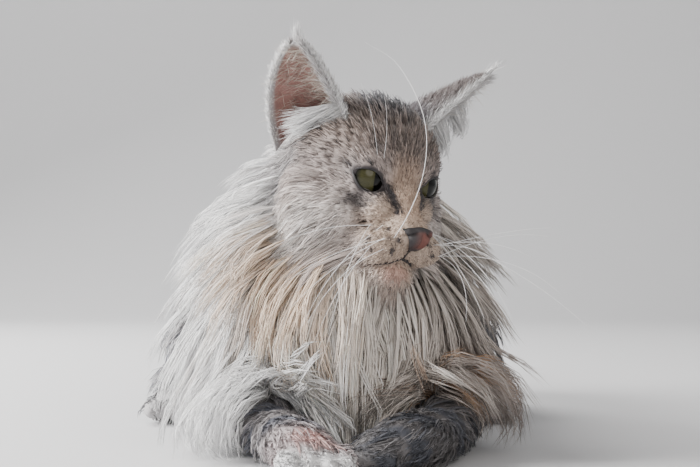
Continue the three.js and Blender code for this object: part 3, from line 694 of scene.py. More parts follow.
def mane_color(points):
    """The ruff: cool white on the cat's right, tan at the throat, and greyer and darker on its left,
    which is painted shade.
    """
    x, y, z = points.T
    color = mix(tone("white"), tone("cream") * 1.02, smooth(-50, 5, x)[:, None] * 0.7)
    # Painted shade: darker and browner towards the cat's left.
    color = mix(color, tone("silver") * [0.54, 0.465, 0.42], smooth(18, 62, x)[:, None])
    throat = smooth(1.3, 0.3, np.hypot((x + 22) / 34, (z - 134) / 30)) * smooth(70, 30, y)
    color = mix(color, tone("tan") * 1.3, (0.75 * throat)[:, None])
    tawny = smooth(1.2, 0.2, np.hypot((x - 56) / 14, (z - 48) / 22))
    color = mix(color, tone("tawny"), (0.85 * tawny)[:, None])
    low = smooth(45, 12, z) * smooth(-30, -80, x)
    color = mix(color, tone("grey") * [1.5, 1.3, 1.25], (0.5 * low)[:, None])
    nape = smooth(84, 112, y) * smooth(90, 120, z)
    color = mix(color, tone("silver") * 0.8, (0.8 * nape)[:, None])
    color = color * (1 + 0.13 * ripple(points * [1.6, 1, 0.5], 20, 8))[:, None]
    return np.clip(color, 0.02, 0.92)


def body_color(points):
    """Silver flanks with soft darker tabby swirls, darkest along the back, and painted shade that
    halves their brightness towards the cat's left.
    """
    x, _, z = points.T
    swirl = ripple(points * [1.2, 1.0, 0.9], 62, 9) + 0.5 * ripple(points, 30, 10)
    dark = 0.75 * smooth(0.05, 0.5, swirl)
    spine = smooth(30, 8, np.abs(x + 8)) * smooth(110, 140, z)
    dark = np.maximum(dark, 0.8 * spine)
    color = mix(tone("silver") * 0.95, tone("slate") * 2.4, dark[:, None])
    belly = smooth(60, 25, z) * 0.5
    color = mix(color, tone("white") * 0.75, belly[:, None])
    # Painted shade: half as bright towards the cat's left.
    return color * mix(1.0, 0.5, smooth(20, 70, x))[:, None]


def leg_color(points, which):
    """Grey legs with wavering darker bars, paler towards the toes."""
    x, y, _ = points.T
    bars = ripple(points * [0.6, 1.4, 0.6], 24, 12)
    color = mix(tone("grey") * 0.55, tone("slate") * 0.9, smooth(-0.1, 0.5, bars)[:, None])
    if which == "foreleg_right":
        paw = smooth(-30, -62, y)
        color = mix(color * 1.9, tone("silver") * [0.95, 0.86, 0.86], paw[:, None])
        pink = smooth(16, 5, np.linalg.norm(points - [-22, -66, 24], axis=1))
        color = mix(color, tone("pink") * 1.1, (0.55 * pink)[:, None])
        return mix(color, tone("white") * 0.92, smooth(-74, -88, y)[:, None])
    if which == "foreleg_left":
        return mix(color, tone("silver") * 0.8, (0.7 * smooth(16, -2, x))[:, None])
    return mix(color * 1.4, tone("silver"), smooth(240, 215, y)[:, None])


def tail_color(points, t):
    """Silver with dark rings, a sine along the tail with a wavering edge, and a dark tip."""
    rings = smooth(0.0, 0.7, np.sin(t * 40) + 0.3 * ripple(points, 25, 14))
    color = mix(tone("silver") * 0.85, tone("slate") * 1.8, (0.75 * rings)[:, None])
    return mix(color, tone("slate") * 1.5, (0.8 * smooth(0.88, 0.97, t))[:, None])


def coat_color(points, labels, t):
    """The colour of the coat at points of the skin, by the part that each belongs to."""
    color = np.zeros((len(points), 3))
    for number in np.unique(labels):
        here = labels == number
        label = LABELS[number]
        spots = points[here]
        if label == "head":
            local = to_head(spots)
            made = mix(head_color(local), tone("soot") * 1.6, head_marks_and_shade(local)[:, None])
            made = mix(made, tone("slate"), (0.9 * crown_patch(local))[:, None])
        elif label == "mane":
            made = mane_color(spots)
        elif label == "trunk":
            made = mix(body_color(spots), mane_color(spots), smooth(95, 60, spots[:, 1])[:, None])
        elif label == "tail":
            made = tail_color(spots, t[here])
        else:
            made = leg_color(spots, label.split(".")[0])
            upper = label.endswith(".upper") * 0.8
            made = mix(made, body_color(spots), upper)
        color[here] = made
    return color


# How the hair lies.

def head_flow(local):
    """From the nose back over the face, and down towards the ruff on the cheeks."""
    way = unit(local - NOSE_TIP - [0, 8, 6])
    side = smooth(20, 42, np.abs(local[:, 0]))[:, None]
    low = smooth(5, -25, local[:, 2])[:, None]
    down = np.array([0, 0.35, -1.0])
    way = mix(way, unit(way + 1.1 * down), side * (0.35 + 0.65 * low))
    back = smooth(-10, 30, local[:, 1])[:, None] * smooth(30, 10, local[:, 2])[:, None]
    return unit(mix(way, np.array([0, 0.5, -0.9]), back * 0.7))


def mane_flow(points):
    """Outwards from under the head in the plane of the breast, and down."""
    middle = np.array([HEAD_PLACE[0], 66.0, HEAD_PLACE[2] + 24])
    out = (points - middle) * [1, 0, 1]
    out[:, 0] *= np.interp(points[:, 2], [50, 110, 160], [0.1, 0.6, 1.0])
    fall = np.interp(points[:, 2], [40, 110, 150, 200], [2.6, 1.5, 0.9, 0.4])[:, None]
    ahead = np.interp(points[:, 2], [40, 90], [0.8, 0.12]) * smooth(110, 80, points[:, 1])
    ahead = ahead - 0.9 * smooth(80, 110, points[:, 1])
    return unit(unit(out) + fall * DOWN - ahead[:, None] * [0, 1, 0])


def flow_at(points, label, heading, outward):
    """The direction in which the hair of a part lies."""
    if label == "head":
        return turned(head_flow(to_head(points)))
    if label == "mane":
        return mane_flow(points)
    if label == "trunk":
        fall = (0.25 + 0.75 * (1 - outward[:, 2:])) * DOWN
        front = smooth(110, 50, points[:, 1])[:, None]
        return unit(mix(heading + fall, mane_flow(points), front))
    if label == "tail":
        return heading + 0.25 * outward
    if label.endswith(".toes"):
        return heading
    if label.startswith("foreleg") and label.endswith(".lower"):
        sweep = -heading * 0.6 + 0.35 * outward + 0.6 * DOWN + [0.35 * np.sign(points[0, 0]), 0, 0]
        forward = smooth(0, -45, points[:, 1])[:, None]
        return unit(mix(sweep, heading + 0.3 * DOWN, forward))
    if label.endswith(".upper"):
        return unit(heading * 0.3 + 0.9 * DOWN + 0.25 * outward)
    return unit(heading + 0.4 * DOWN)


class Skin:
    """The skin's points and faces, with the part, share along and angle of each face."""

    def __init__(self):
        xs = spread_steps(-170, 145, -50, 72, 1.55, 4.2)
        ys = spread_steps(-108, 675, -44, 88, 1.6, 4.6)
        zs = spread_steps(-4, 225, 106, 216, 1.55, 3.0)
        points, quads = surface_of(body_distance, xs, ys, zs)
        self.points, self.quads = points, quads
        corners = points[quads]
        self.center = corners.mean(1)
        cross = np.cross(corners[:, 2] - corners[:, 0], corners[:, 3] - corners[:, 1])
        self.area = np.linalg.norm(cross, axis=1) / 2
        self.outward = unit(cross)
        self.label, self.t, self.angle = self.describe(self.center)

    @staticmethod
    def describe(points):
        """Part number, share along it and angle round it, for points on the skin."""
        _, label = body_distance(points, labels=True)
        t, angle = np.zeros(len(points)), np.zeros(len(points))
        for number, limb in enumerate(LIMBS, 1):
            here = label == number
            if here.any():
                _, t[here], angle[here] = limb.locate(points[here])
        head = label == 0
        local = unit(to_head(points[head]))
        t[head] = np.arccos(np.clip(local[:, 1], -1, 1)) / np.pi
        angle[head] = np.arctan2(local[:, 2], local[:, 0])
        return label, t, angle

    def scatter(self, weight, count, draw):
        """Faces drawn by area times weight, and a point in each: index, point, outward."""
        chance = self.area * weight
        index = draw.choice(len(chance), count, p=chance / chance.sum())
        a, b = draw.random((2, count, 1))
        corner = self.points[self.quads[index]]
        place = mix(mix(corner[:, 0], corner[:, 1], a), mix(corner[:, 3], corner[:, 2], a), b)
        return index, place, self.outward[index]


def grow_locks(place, outward, flow, length, rise, sway_size, draw, steps=6):
    """Paths of locks over the skin.

    Each step goes along the flow, kept level with the skin, and is then lifted to its height,
    which grows along the lock like a quarter of a sine wave up to the rise.
    """
    height, depth, wander = 0.3, 1.2, 0.13
    at = place + outward * height
    path = [place - outward * depth]
    slope = outward
    stray = draw.normal(size=place.shape) * wander
    phase, pace = draw.uniform(0, TAU, len(place)), draw.uniform(1.5, 4.0, len(place))
    for k in range(1, steps + 1):
        share = k / steps
        way = unit(flow(at, slope))
        sway = np.cross(way, slope) * (sway_size * np.sin(phase + pace * share))[:, None]
        way = way + stray + sway
        way = unit(way - slope * np.minimum(dot(way, slope), 0.35))
        at = at + way * (length / steps)[:, None]
        distance, slope = slope_of(body_distance, at)
        height = rise * np.sin(share * np.pi / 2)
        lift = np.clip(height - distance, -4.0, None)
        at = at + slope * lift[:, None] * 0.9
        at[:, 2] = np.maximum(at[:, 2], FLOOR + 0.8 + 2 * share)
        path.append(at)
    return np.stack(path, 1)


def strands(path, pick, offset, share, width, rings, curl, draw):
    """Thin three-sided hairs that follow picked lock paths, from offsets at their roots.

    offset is a pair of steps away from the path, the first of which closes up halfway to the
    tip and the second wholly, so that hairs meet in points and points gather in a lock.
    """
    count, steps = len(pick), path.shape[1] - 1
    s = np.linspace(0, 1, rings + 1)
    place = s[None, :] * share[:, None] * steps
    low = np.minimum(place.astype(int), steps - 1)
    w = (place - low)[..., None]
    chosen = path[pick]
    rows = np.arange(count)[:, None]
    line = mix(chosen[rows, low], chosen[rows, low + 1], w)
    wide, narrow = offset
    spread = wide[:, None] * (1 - 0.5 * s[None, :, None] ** 1.3)
    spread = spread + narrow[:, None] * (1 - 0.85 * s[None, :, None])
    phase = draw.uniform(0, TAU, (count, 1))
    wave = np.sin(s[None, :] * draw.uniform(2, 5, (count, 1)) + phase) - np.sin(phase)
    along = unit(np.gradient(line, axis=1))
    side = unit(np.cross(along, unit(draw.normal(size=(count, 1, 3)) * 0.35 + [0, -0.6, 0.8])))
    line = line + spread + side * (wave * s[None, :] * curl[:, None])[..., None]
    line[..., 2] = np.maximum(line[..., 2], FLOOR + 0.5)
    taper = np.array(LONG_TAPER if rings > 3 else SHORT_TAPER)[:rings]
    half = (width[:, None] * taper[None, :] / 2)[..., None]
    face = np.cross(along, side)
    ringed = []
    for turn in (0, TAU / 3, 2 * TAU / 3):
        ringed.append(line[:, :rings] + half * (
            side[:, :rings] * np.cos(turn) + HAIR_FLAT * face[:, :rings] * np.sin(turn)))
    body = np.stack(ringed, 2).reshape(count, rings * 3, 3)
    points = np.concatenate([body, line[:, rings:]], 1)
    return points, strand_faces(count, rings), s


def strand_faces(count, rings):
    """Triangles of hairs of a few rings of three points and a tip, closed at the root."""
    faces = [(0, 2, 1)]
    for ring in range(rings - 1):
        for k in range(3):
            a, b = ring * 3 + k, ring * 3 + (k + 1) % 3
            faces += [(a, b, b + 3), (a, b + 3, a + 3)]
    last = (rings - 1) * 3
    faces += [(last + k, last + (k + 1) % 3, rings * 3) for k in range(3)]
    each = np.array(faces)[None]
    return (each + (np.arange(count) * (rings * 3 + 1))[:, None, None]).reshape(-1, 3)


def strand_map(root_uv, rings, draw):
    """A small patch of the map for each hair at its root's place on the unwrapped skin."""
    count = len(root_uv)
    s = np.repeat(np.linspace(0, 1, rings + 1)[:rings], 3)
    across = np.tile([0.0, 0.5, 1.0], rings)
    patch = np.stack([np.append(across, 0.5), np.append(s, 1.0)], 1) * PATCH
    jitter = draw.uniform(-PATCH_STRAY, PATCH_STRAY, (count, 1, 2))
    return np.clip(root_uv[:, None] + jitter + patch[None], 0, 1).reshape(-1, 2)


def for_each_point(shades, rings):
    """Shades of rings and tips, repeated for the three points of each ring of each hair."""
    rows = np.concatenate([np.repeat(shades[:, :rings], 3, axis=1), shades[:, rings:]], 1)
    return rows.reshape(-1, 3)


def comb(name, skin, weight, locks, hairs, look, seed):
    """One piece of coat: locks scattered over the skin, each of several hairs.

    look holds functions or numbers: length, rise, width, spread, curl, rings, tone and dark,
    in millimetres, where functions take the points, the part numbers and the shares along.
    """
    draw = np.random.default_rng(seed)
    index, place, outward = skin.scatter(weight, locks, draw)
    label, t, angle = skin.label[index], skin.t[index], skin.angle[index]
    value = lambda key: np.broadcast_to(
        look[key](place, label, t) if callable(look[key]) else look[key], (locks,)).astype(float)
    length = value("length") * draw.uniform(0.8, 1.2, locks)
    rise = value("rise") * draw.uniform(look.get("least_rise", 0.45), 1.1, locks)
    path = np.zeros((locks, 7, 3))
    for number in np.unique(label):
        here = label == number
        heading = LIMBS[number - 1].heading(t[here]) if number else np.zeros((here.sum(), 3))
        flow = lambda at, slope: flow_at(at, LABELS[number], heading, slope)
        path[here] = grow_locks(place[here], outward[here], flow, length[here], rise[here],
                                look.get("sway", 0.12), draw)
    color = coat_color(place, label, t)
    pick = np.repeat(np.arange(locks), hairs)
    count = len(pick)
    way = unit(path[:, 2] - path[:, 1])
    across = unit(np.cross(outward, way))
    points = draw.integers(0, 3, count)
    gather = draw.normal(size=(locks, 3, 2)) * 0.75
    spread = value("spread")
    wide = gather[pick, points] * spread[pick, None]
    narrow = draw.normal(size=(count, 2)) * spread[pick, None] * 0.38
    step = lambda v: v[:, :1] * way[pick] + v[:, 1:] * across[pick]
    share = draw.uniform(0.72, 1.0, count)
    width = value("width")[pick] * draw.uniform(0.7, 1.25, count)
    curl = value("curl")[pick] * draw.uniform(0.2, 1.0, count)
    rings = look["rings"]
    verts, faces, s = strands(
        path, pick, (step(wide), step(narrow)), share, width, rings, curl, draw)
    uneven = np.exp(draw.normal(size=count) * look["tone"] + draw.normal(size=locks)[pick] * 0.09)
    dark = draw.random(count) < value("dark")[pick]
    hair = color[pick] * np.where(dark, 0.34, 1.0)[:, None] * uneven[:, None]
    root = hair * look["root"]
    tip = np.clip(hair * look["tip"], 0, LIGHTEST)
    shades = mix(root[:, None], tip[:, None], s[None, :, None] ** 0.8)
    piece = new_mesh(name, verts.reshape(-1, 3), faces, MATERIALS["hair"])
    paint(piece, np.clip(for_each_point(shades, rings), DARKEST, LIGHTEST))
    unwrapped = np.stack([angle / TAU % 1.0, 0.02 + 0.96 * t], 1)
    lay_map(piece, strand_map(unwrapped[pick], rings, draw))
    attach(piece, "root")
    look.get("slot", "silver_fur")
    return piece


# Materials.

MATERIALS = {}
SKIN = {}


def new_material(name):
    """A material with its node tree and its shader."""
    material = bpy.data.materials.new(name)
    material.use_nodes = True
    return material, material.node_tree, material.node_tree.nodes["Principled BSDF"]


def add_node(tree, kind, place, **values):
    """A node at a place in the tree, with its settings."""
    made = tree.nodes.new(kind)
    made.location = place
    for key, value in values.items():
        setattr(made, key, value)
    return made


def grain_group():
    """Small uneven tone over a colour, with a height for bump: the grain of hair and skin."""
    tree = bpy.data.node_groups.new("hair_grain", "ShaderNodeTree")
    face = tree.interface
    for name, kind, value in (("Color", "NodeSocketColor", None), ("Size", "NodeSocketFloat", 900),
                              ("Contrast", "NodeSocketFloat", 0.3)):
        made = face.new_socket(name, in_out="INPUT", socket_type=kind)
        if value is not None:
            made.default_value = value
    for name, kind in (("Color", "Color"), ("Roughness", "Float"), ("Height", "Float")):
        face.new_socket(name, in_out="OUTPUT", socket_type="NodeSocket" + kind)
    inner = add_node(tree, "NodeGroupInput", (-600, 0))
    outer = add_node(tree, "NodeGroupOutput", (500, 0))
    place = add_node(tree, "ShaderNodeTexCoord", (-800, -200))
    noise = add_node(tree, "ShaderNodeTexNoise", (-400, -200))
    noise.inputs["Detail"].default_value = 3
    centred = add_node(tree, "ShaderNodeMath", (-200, -200), operation="SUBTRACT")
    centred.inputs[1].default_value = 0.5
    scaled = add_node(tree, "ShaderNodeMath", (-50, -200), operation="MULTIPLY")
    lifted = add_node(tree, "ShaderNodeMath", (100, -200), operation="ADD")
    lifted.inputs[1].default_value = 1.0
    shade = add_node(tree, "ShaderNodeVectorMath", (300, 0), operation="SCALE")
    rough = add_node(tree, "ShaderNodeMapRange", (300, -300))
    rough.inputs["To Min"].default_value = 0.42
    rough.inputs["To Max"].default_value = 0.72
    link = tree.links.new
    link(place.outputs["Object"], noise.inputs["Vector"])
    link(inner.outputs["Size"], noise.inputs["Scale"])
    link(noise.outputs["Fac"], centred.inputs[0])
    link(centred.outputs[0], scaled.inputs[0])
    link(inner.outputs["Contrast"], scaled.inputs[1])
    link(scaled.outputs[0], lifted.inputs[0])
    link(inner.outputs["Color"], shade.inputs[0])
    link(lifted.outputs[0], shade.inputs["Scale"])
    link(noise.outputs["Fac"], rough.inputs["Value"])
    link(shade.outputs[0], outer.inputs["Color"])
    link(rough.outputs[0], outer.inputs["Roughness"])
    link(noise.outputs["Fac"], outer.inputs["Height"])
    return tree


def coated(name, group, size, contrast, bump, sheen=0.0, specular=0.3):
    """A material whose colour is the painted tint with the shared grain over it."""
    material, tree, shader = new_material(name)
    tint = add_node(tree, "ShaderNodeAttribute", (-700, 200), attribute_name="tint")
    grain = add_node(tree, "ShaderNodeGroup", (-450, 200), node_tree=group)
    grain.inputs["Size"].default_value = size
    grain.inputs["Contrast"].default_value = contrast
    link = tree.links.new
    link(tint.outputs["Color"], grain.inputs["Color"])
    link(grain.outputs["Color"], shader.inputs["Base Color"])
    link(grain.outputs["Roughness"], shader.inputs["Roughness"])
    shader.inputs["Specular IOR Level"].default_value = specular
    shader.inputs["Sheen Weight"].default_value = sheen
    if bump:
        made = add_node(tree, "ShaderNodeBump", (-200, -200))
        made.inputs["Strength"].default_value = bump
        made.inputs["Distance"].default_value = 0.0006
        link(grain.outputs["Height"], made.inputs["Height"])
        link(made.outputs["Normal"], shader.inputs["Normal"])
    return material


def eye_material():
    """Olive iris with radial fibres, a dark rim and a slit pupil, wet and clear over all."""
    material, tree, shader = new_material("wet_eye")
    plane = add_node(tree, "ShaderNodeUVMap", (-1400, 0), uv_map="Iris")
    split = add_node(tree, "ShaderNodeSeparateXYZ", (-1200, 0))
    link = tree.links.new
    link(plane.outputs["UV"], split.inputs[0])

    def math(kind, a, b=None):
        made = add_node(tree, "ShaderNodeMath", (0, 0), operation=kind)
        for socket, value in zip(made.inputs, (a, b)):
            if value is None:
                continue
            if isinstance(value, (int, float)):
                socket.default_value = value
            else:
                link(value, socket)
        return made.outputs[0]

    across = math("SUBTRACT", split.outputs["X"], 0.5)
    high = math("SUBTRACT", split.outputs["Y"], 0.5)
    radius = math("SQRT", math("ADD", math("MULTIPLY", across, across),
                               math("MULTIPLY", high, high)))
    turn = math("ARCTAN2", high, across)
    fibre = add_node(tree, "ShaderNodeTexNoise", (-700, -300), noise_dimensions="2D")
    fibre.inputs["Scale"].default_value = 9
    fibre.inputs["Detail"].default_value = 4
    spread = add_node(tree, "ShaderNodeCombineXYZ", (-850, -300))
    link(math("MULTIPLY", turn, 3.0), spread.inputs[0])
    link(math("MULTIPLY", radius, 2.0), spread.inputs[1])
    link(spread.outputs[0], fibre.inputs["Vector"])
    ramp = add_node(tree, "ShaderNodeValToRGB", (-500, 0))
    iris = tone("iris")
    stops = {0.0: iris * 0.65, 0.5: iris, 0.86: iris * 0.65, 0.96: (0.010, 0.010, 0.008),
             1.0: (0.008, 0.006, 0.006)}
    ramp.color_ramp.elements[1].position = 1.0
    for position in list(stops)[1:-1]:
        ramp.color_ramp.elements.new(position)
    for element, color in zip(ramp.color_ramp.elements, stops.values()):
        element.color = (*color, 1)
    link(math("MULTIPLY", radius, 2.02), ramp.inputs["Fac"])
    shaded = add_node(tree, "ShaderNodeVectorMath", (-250, 0), operation="SCALE")
    link(ramp.outputs["Color"], shaded.inputs[0])
    link(math("ADD", math("MULTIPLY", fibre.outputs["Fac"], 1.1), 0.45), shaded.inputs["Scale"])
    slit = math("SQRT", math("ADD", math("POWER", math("DIVIDE", across, 0.17), 2.0),
                             math("POWER", math("DIVIDE", high, 0.36), 2.0)))
    edge = add_node(tree, "ShaderNodeMapRange", (-250, -300))
    edge.inputs["From Min"].default_value = 0.9
    edge.inputs["From Max"].default_value = 1.08
    link(slit, edge.inputs["Value"])
    pupil = add_node(tree, "ShaderNodeVectorMath", (-50, 0), operation="SCALE")
    link(shaded.outputs[0], pupil.inputs[0])
    link(edge.outputs[0], pupil.inputs["Scale"])
    link(pupil.outputs[0], shader.inputs["Base Color"])
    shader.inputs["Roughness"].default_value = 0.18
    shader.inputs["Specular IOR Level"].default_value = 0.15
    shader.inputs["Coat Weight"].default_value = 0.25
    shader.inputs["Coat Roughness"].default_value = 0.02
    return material


def make_materials():
    """The materials of hair, skin, leather, whiskers and eyes."""
    group = grain_group()
    MATERIALS["hair"] = coated("coat_hair", group, 700, 0.22, 0, sheen=0.12)
    MATERIALS["skin"] = coated("short_coated_skin", group, 900, 0.5, 0.5)
    MATERIALS["leather"] = coated("nose_leather", group, 2600, 0.35, 0.55, specular=0.55)
    MATERIALS["whisker"] = coated("whisker", group, 400, 0.1, 0, specular=0.5)
    MATERIALS["eye"] = eye_material()


# Surfaces on a grid.

def grid_faces(rows, columns, wrap=False):
    """Quads of a grid of points, joined across its last column where it wraps."""
    i, k = np.meshgrid(np.arange(rows - 1), np.arange(columns if wrap else columns - 1),
                       indexing="ij")
    after = (k + 1) % columns
    quads = np.stack([i * columns + k, i * columns + after, (i + 1) * columns + after,
                      (i + 1) * columns + k], -1)
    return quads.reshape(-1, 4)


def tube(line, radius, sides=8, samples=24, flat=1.0):
    """A tapered tube along a smooth line, as points and quads, ending in near points."""
    t = np.linspace(0, 1, samples)
    at = spline(line, t)
    along = unit(np.gradient(at, axis=0))
    side = unit(np.cross(along, [0.31, 0.12, 0.94]))
    rise = np.cross(side, along)
    girth = np.interp(t, np.linspace(0, 1, len(radius)), radius)
    turn = np.linspace(0, TAU, sides, endpoint=False)
    ring = side[:, None] * np.cos(turn)[:, None] + flat * rise[:, None] * np.sin(turn)[:, None]
    points = at[:, None] + ring * girth[:, None, None]
    return points.reshape(-1, 3), grid_faces(samples, sides, wrap=True)


def joined(parts):
    """Point and face arrays put together."""
    points, faces, start = [], [], 0
    for p, f in parts:
        points.append(p)
        faces.append(f + start)
        start += len(p)
    return np.concatenate(points), np.concatenate(faces)


def on_head(points_xz, depth=0.0, start=-80.0, end=-20.0, halvings=24):
    """Points of the head's surface straight ahead of places given by side and height, found by
    halving the way from start to end again and again."""
    xz = np.asarray(points_xz, float)
    low, high = np.full(len(xz), start), np.full(len(xz), end)
    for _ in range(halvings):
        half = (low + high) / 2
        local = np.stack([xz[:, 0], half, xz[:, 1]], 1)
        inside = head_distance(local) < -depth
        high = np.where(inside, half, high)
        low = np.where(inside, low, half)
    return np.stack([xz[:, 0], high, xz[:, 1]], 1)


def ear_axes(flip):
    """An ear's base, the line up to its tip, the way it opens and its side, in the head's frame."""
    axis = unit([0.5 * flip, -0.31, 0.8])
    open_way = np.array([0.8 * flip, -0.6, 0])
    open_way = unit(open_way - axis * np.dot(open_way, axis))
    return np.array(EAR_BASE) * [flip, 1, 1], axis, open_way, np.cross(axis, open_way) * flip


def ear_point(flip, v, share, behind=0.0):
    """A point of the ear's shell: v up to its tip, share from front edge (-1) to back (1)."""
    base, axis, open_way, side = ear_axes(flip)
    above = np.clip(v, 0, 1)
    width = EAR_WIDTH * (1 - above ** 2.1) ** 0.8 + 3
    spread = np.radians(mix(84, 50, above))
    radius = width / 2 / np.sin(spread)
    angle, shell = spread * share, radius + behind
    up = EAR_HEIGHT * (v - 0.16) - 13 * share * (1 - above)
    across = shell * np.sin(angle) + 3 * np.sin(above * np.pi)
    out = radius * np.cos(spread) - shell * np.cos(angle) + 7
    return base + up[..., None] * axis + across[..., None] * side + out[..., None] * open_way


def ear_shell(flip, rows=30, columns=34):
    """The ear's closed shell: an outer and an inner face joined round their edges."""
    v, share = np.meshgrid(np.linspace(0, 0.995, rows), np.linspace(-1, 1, columns), indexing="ij")
    thick = EAR_THICK / 2 * (1 - 0.6 * np.abs(share) ** 4)
    outer = ear_point(flip, v, share, thick)
    inner = ear_point(flip, v, share, -thick)
    around = np.concatenate([outer, inner[:, ::-1]], 1)
    faces = grid_faces(rows, 2 * columns, wrap=True)
    caps = []
    for row, way in ((0, 1), (rows - 1, -1)):
        a = row * 2 * columns + np.arange(columns - 1)
        b = row * 2 * columns + 2 * columns - 1 - np.arange(columns - 1)
        caps.append(np.stack([a, b, b - 1, a + 1], 1)[:, ::way])
    faces = np.concatenate([faces] + caps)
    if flip > 0:
        faces = faces[:, ::-1]
    bare = smooth(0.93, 0.8, np.abs(share)[:, ::-1]) * smooth(0.98, 0.9, v)
    inside = np.concatenate([np.zeros((rows, columns)), bare], 1).ravel()
    return from_head(around.reshape(-1, 3)), faces, inside


def ear_fur_color(v, share):
    """Grey on the ear's back, white at its front edge and along its rim."""
    rim = smooth(0.72, 0.98, np.abs(share))
    color = mix(tone("silver") * [0.40, 0.35, 0.34], tone("white") * 0.8, rim[..., None])
    return mix(color, tone("slate") * 3.2, (0.35 * smooth(0.45, 0.15, v) * (1 - rim))[..., None])


def build_skin():
    """One skin from nose to tail with the ears' shells, and its painted markings and painted shade.
    """
    skin = Skin()
    SKIN["skin"] = skin
    label, t, _ = skin.describe(skin.points)
    color = coat_color(skin.points, label, t) * 0.8
    parts = [(skin.points, skin.quads)]
    colors = [color]
    for flip in (-1, 1):
        points, faces, inside = ear_shell(flip)
        parts.append((points, faces))
        warm = 0.12 * ripple(points, 6, 21)[:, None] + 1
        colors.append(mix(tone("silver") * 0.7, tone("ear_pink") * warm, inside[:, None]))
    points, faces = joined(parts)
    made = new_mesh("skin", points, faces, MATERIALS["skin"])
    paint(made, np.clip(np.concatenate(colors), DARKEST, 0.9))
    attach(made, "root")
    gone = [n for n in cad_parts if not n.startswith("eye")]
    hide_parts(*gone)


# The eyes, each a ball with its iris, between dark rimmed lids.

LOOK = {-1: unit([0.20, -0.98, 0.04]), 1: unit([0.34, -0.93, 0.07])}


def build_eye(flip, name):
    """A ball whose poles lie along its look, with a flat map of the iris."""
    look = LOOK[flip]
    side = unit(np.cross(look, [0, 0, 1.0]))
    up = np.cross(side, look)
    rows, columns, hole = 40, 56, 0.004
    polar, turn = np.meshgrid(np.linspace(hole, np.pi - hole, rows),
                              np.linspace(0, TAU, columns, endpoint=False), indexing="ij")
    ring = np.cos(turn)[..., None] * side + np.sin(turn)[..., None] * up
    ball = look * np.cos(polar)[..., None] + ring * np.sin(polar)[..., None]
    local = eye_middle(flip) + EYE_RADIUS * ball
    made = new_mesh("eyeball_" + name, from_head(local.reshape(-1, 3)),
                    grid_faces(rows, columns, wrap=True)[:, ::-1], MATERIALS["eye"])
    flat = np.stack([0.5 + 0.5 * (ball @ side), 0.5 + 0.5 * (ball @ up)], -1).reshape(-1, 2)
    lay_map(made, flat, "Iris")
    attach(made, "root")
    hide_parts("eye_" + name)


def lid_rim(flip):
    """The dark rim of an eye opening: a closed band on the eyeball along the almond."""
    gaze, outer, rise = eye_axes(flip)
    columns = 72
    turn = np.linspace(0, TAU, columns, endpoint=False)
    across = np.cos(turn)
    high = np.sin(turn) * EYE_HIGH * (1 - EYE_TAPER * across ** 2)
    rings = []
    for wider, out in ((0.0, -1.0), (-0.4, 0.4), (0.2, 1.1), (1.0, 1.1), (1.5, -0.6)):
        x = across * (EYE_WIDE + wider)
        z = high * (1 + wider / EYE_HIGH) + EYE_LIFT
        radius = EYE_RADIUS + out
        deep = np.sqrt(np.maximum(radius ** 2 - x ** 2 - z ** 2, 4.0))
        rings.append(eye_middle(flip) + x[:, None] * outer + z[:, None] * rise
                     + deep[:, None] * gaze)
    points = from_head(np.stack(rings, 0).reshape(-1, 3))
    faces = grid_faces(len(rings), columns, wrap=True)
    return points, faces if flip > 0 else faces[:, ::-1]


def build_eyes():
    """Both eyes, and the rims of their lids in one piece."""
    build_eye(-1, "right")
    build_eye(1, "left")
    points, faces = joined([lid_rim(-1), lid_rim(1)])
    rims = new_mesh("lid_rims", points, faces, MATERIALS["leather"])
    paint(rims, np.tile(tone("soot") * 0.7, (len(points), 1)))
    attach(rims, "root")


# Nose leather, lips and whiskers.

def nose_leather(rows=40, columns=44):
    """The nose's bare leather: a shield that narrows down to the cleft, with two nostrils."""
    v, u = np.meshgrid(np.linspace(0, 1, rows), np.linspace(-1, 1, columns), indexing="ij")
    half = 8.8 * (1 - v) ** 0.6 * (1 - 0.16 * np.sin(v * np.pi)) + 1.2
    x = u * half
    z = mix(-16.6 - 0.6 * np.abs(u) ** 3, -28.5, v) + 0.6 * np.cos(u * np.pi) * (1 - v)
    local = on_head(np.stack([x.ravel(), z.ravel()], 1))
    aside = np.abs(local[:, 0]) - 4.9
    hole = np.exp(-(aside / 2.4) ** 2 - ((local[:, 2] + 19.4 + 0.35 * aside) / 1.35) ** 2)
    cleft = np.exp(-(local[:, 0] / 0.7) ** 2) * smooth(-17, -22, local[:, 2])
    edge = smooth(0.78, 1.0, np.abs(u).ravel()) + smooth(0.1, 0.0, v).ravel()
    local[:, 1] += 3.2 * hole + 0.7 * cleft - 0.9 + 1.1 * np.clip(edge, 0, 1)
    warm = smooth(-5.0, 2.0, local[:, 0]) * smooth(-17, -19, local[:, 2])
    warm = warm * smooth(-28, -25, local[:, 2])
    color = mix(tone("soot") * 1.2, np.array([0.15, 0.050, 0.038]), warm[:, None])
    # Near black in the nostrils, which is painted shade in their openings, and darker along the
    # leather's edge.
    color = mix(color, tone("soot") * 0.3, np.clip(hole * 1.5 + edge * 0.7, 0, 1)[:, None])
    return from_head(local), grid_faces(rows, columns), color


def lip_tubes():
    """The dark edges of the lips from the cleft to both corners, and the cleft itself."""
    made = []
    for line in (MOUTH, mirrored(MOUTH)):
        xz = np.array(line)[:, [0, 2]]
        local = on_head(xz, 0.9)
        far = np.array(line)
        far[:, 1] = np.where(np.abs(far[:, 1] - local[:, 1]) < 6, local[:, 1], far[:, 1])
        made.append(tube(from_head(far), [1.2, 1.3, 0.8, 0.3, 0.1, 0.05], flat=0.8))
    xz = np.array(PHILTRUM)[:, [0, 2]]
    made.append(tube(from_head(on_head(xz, 0.5)), [0.9, 0.7, 1.0]))
    return made


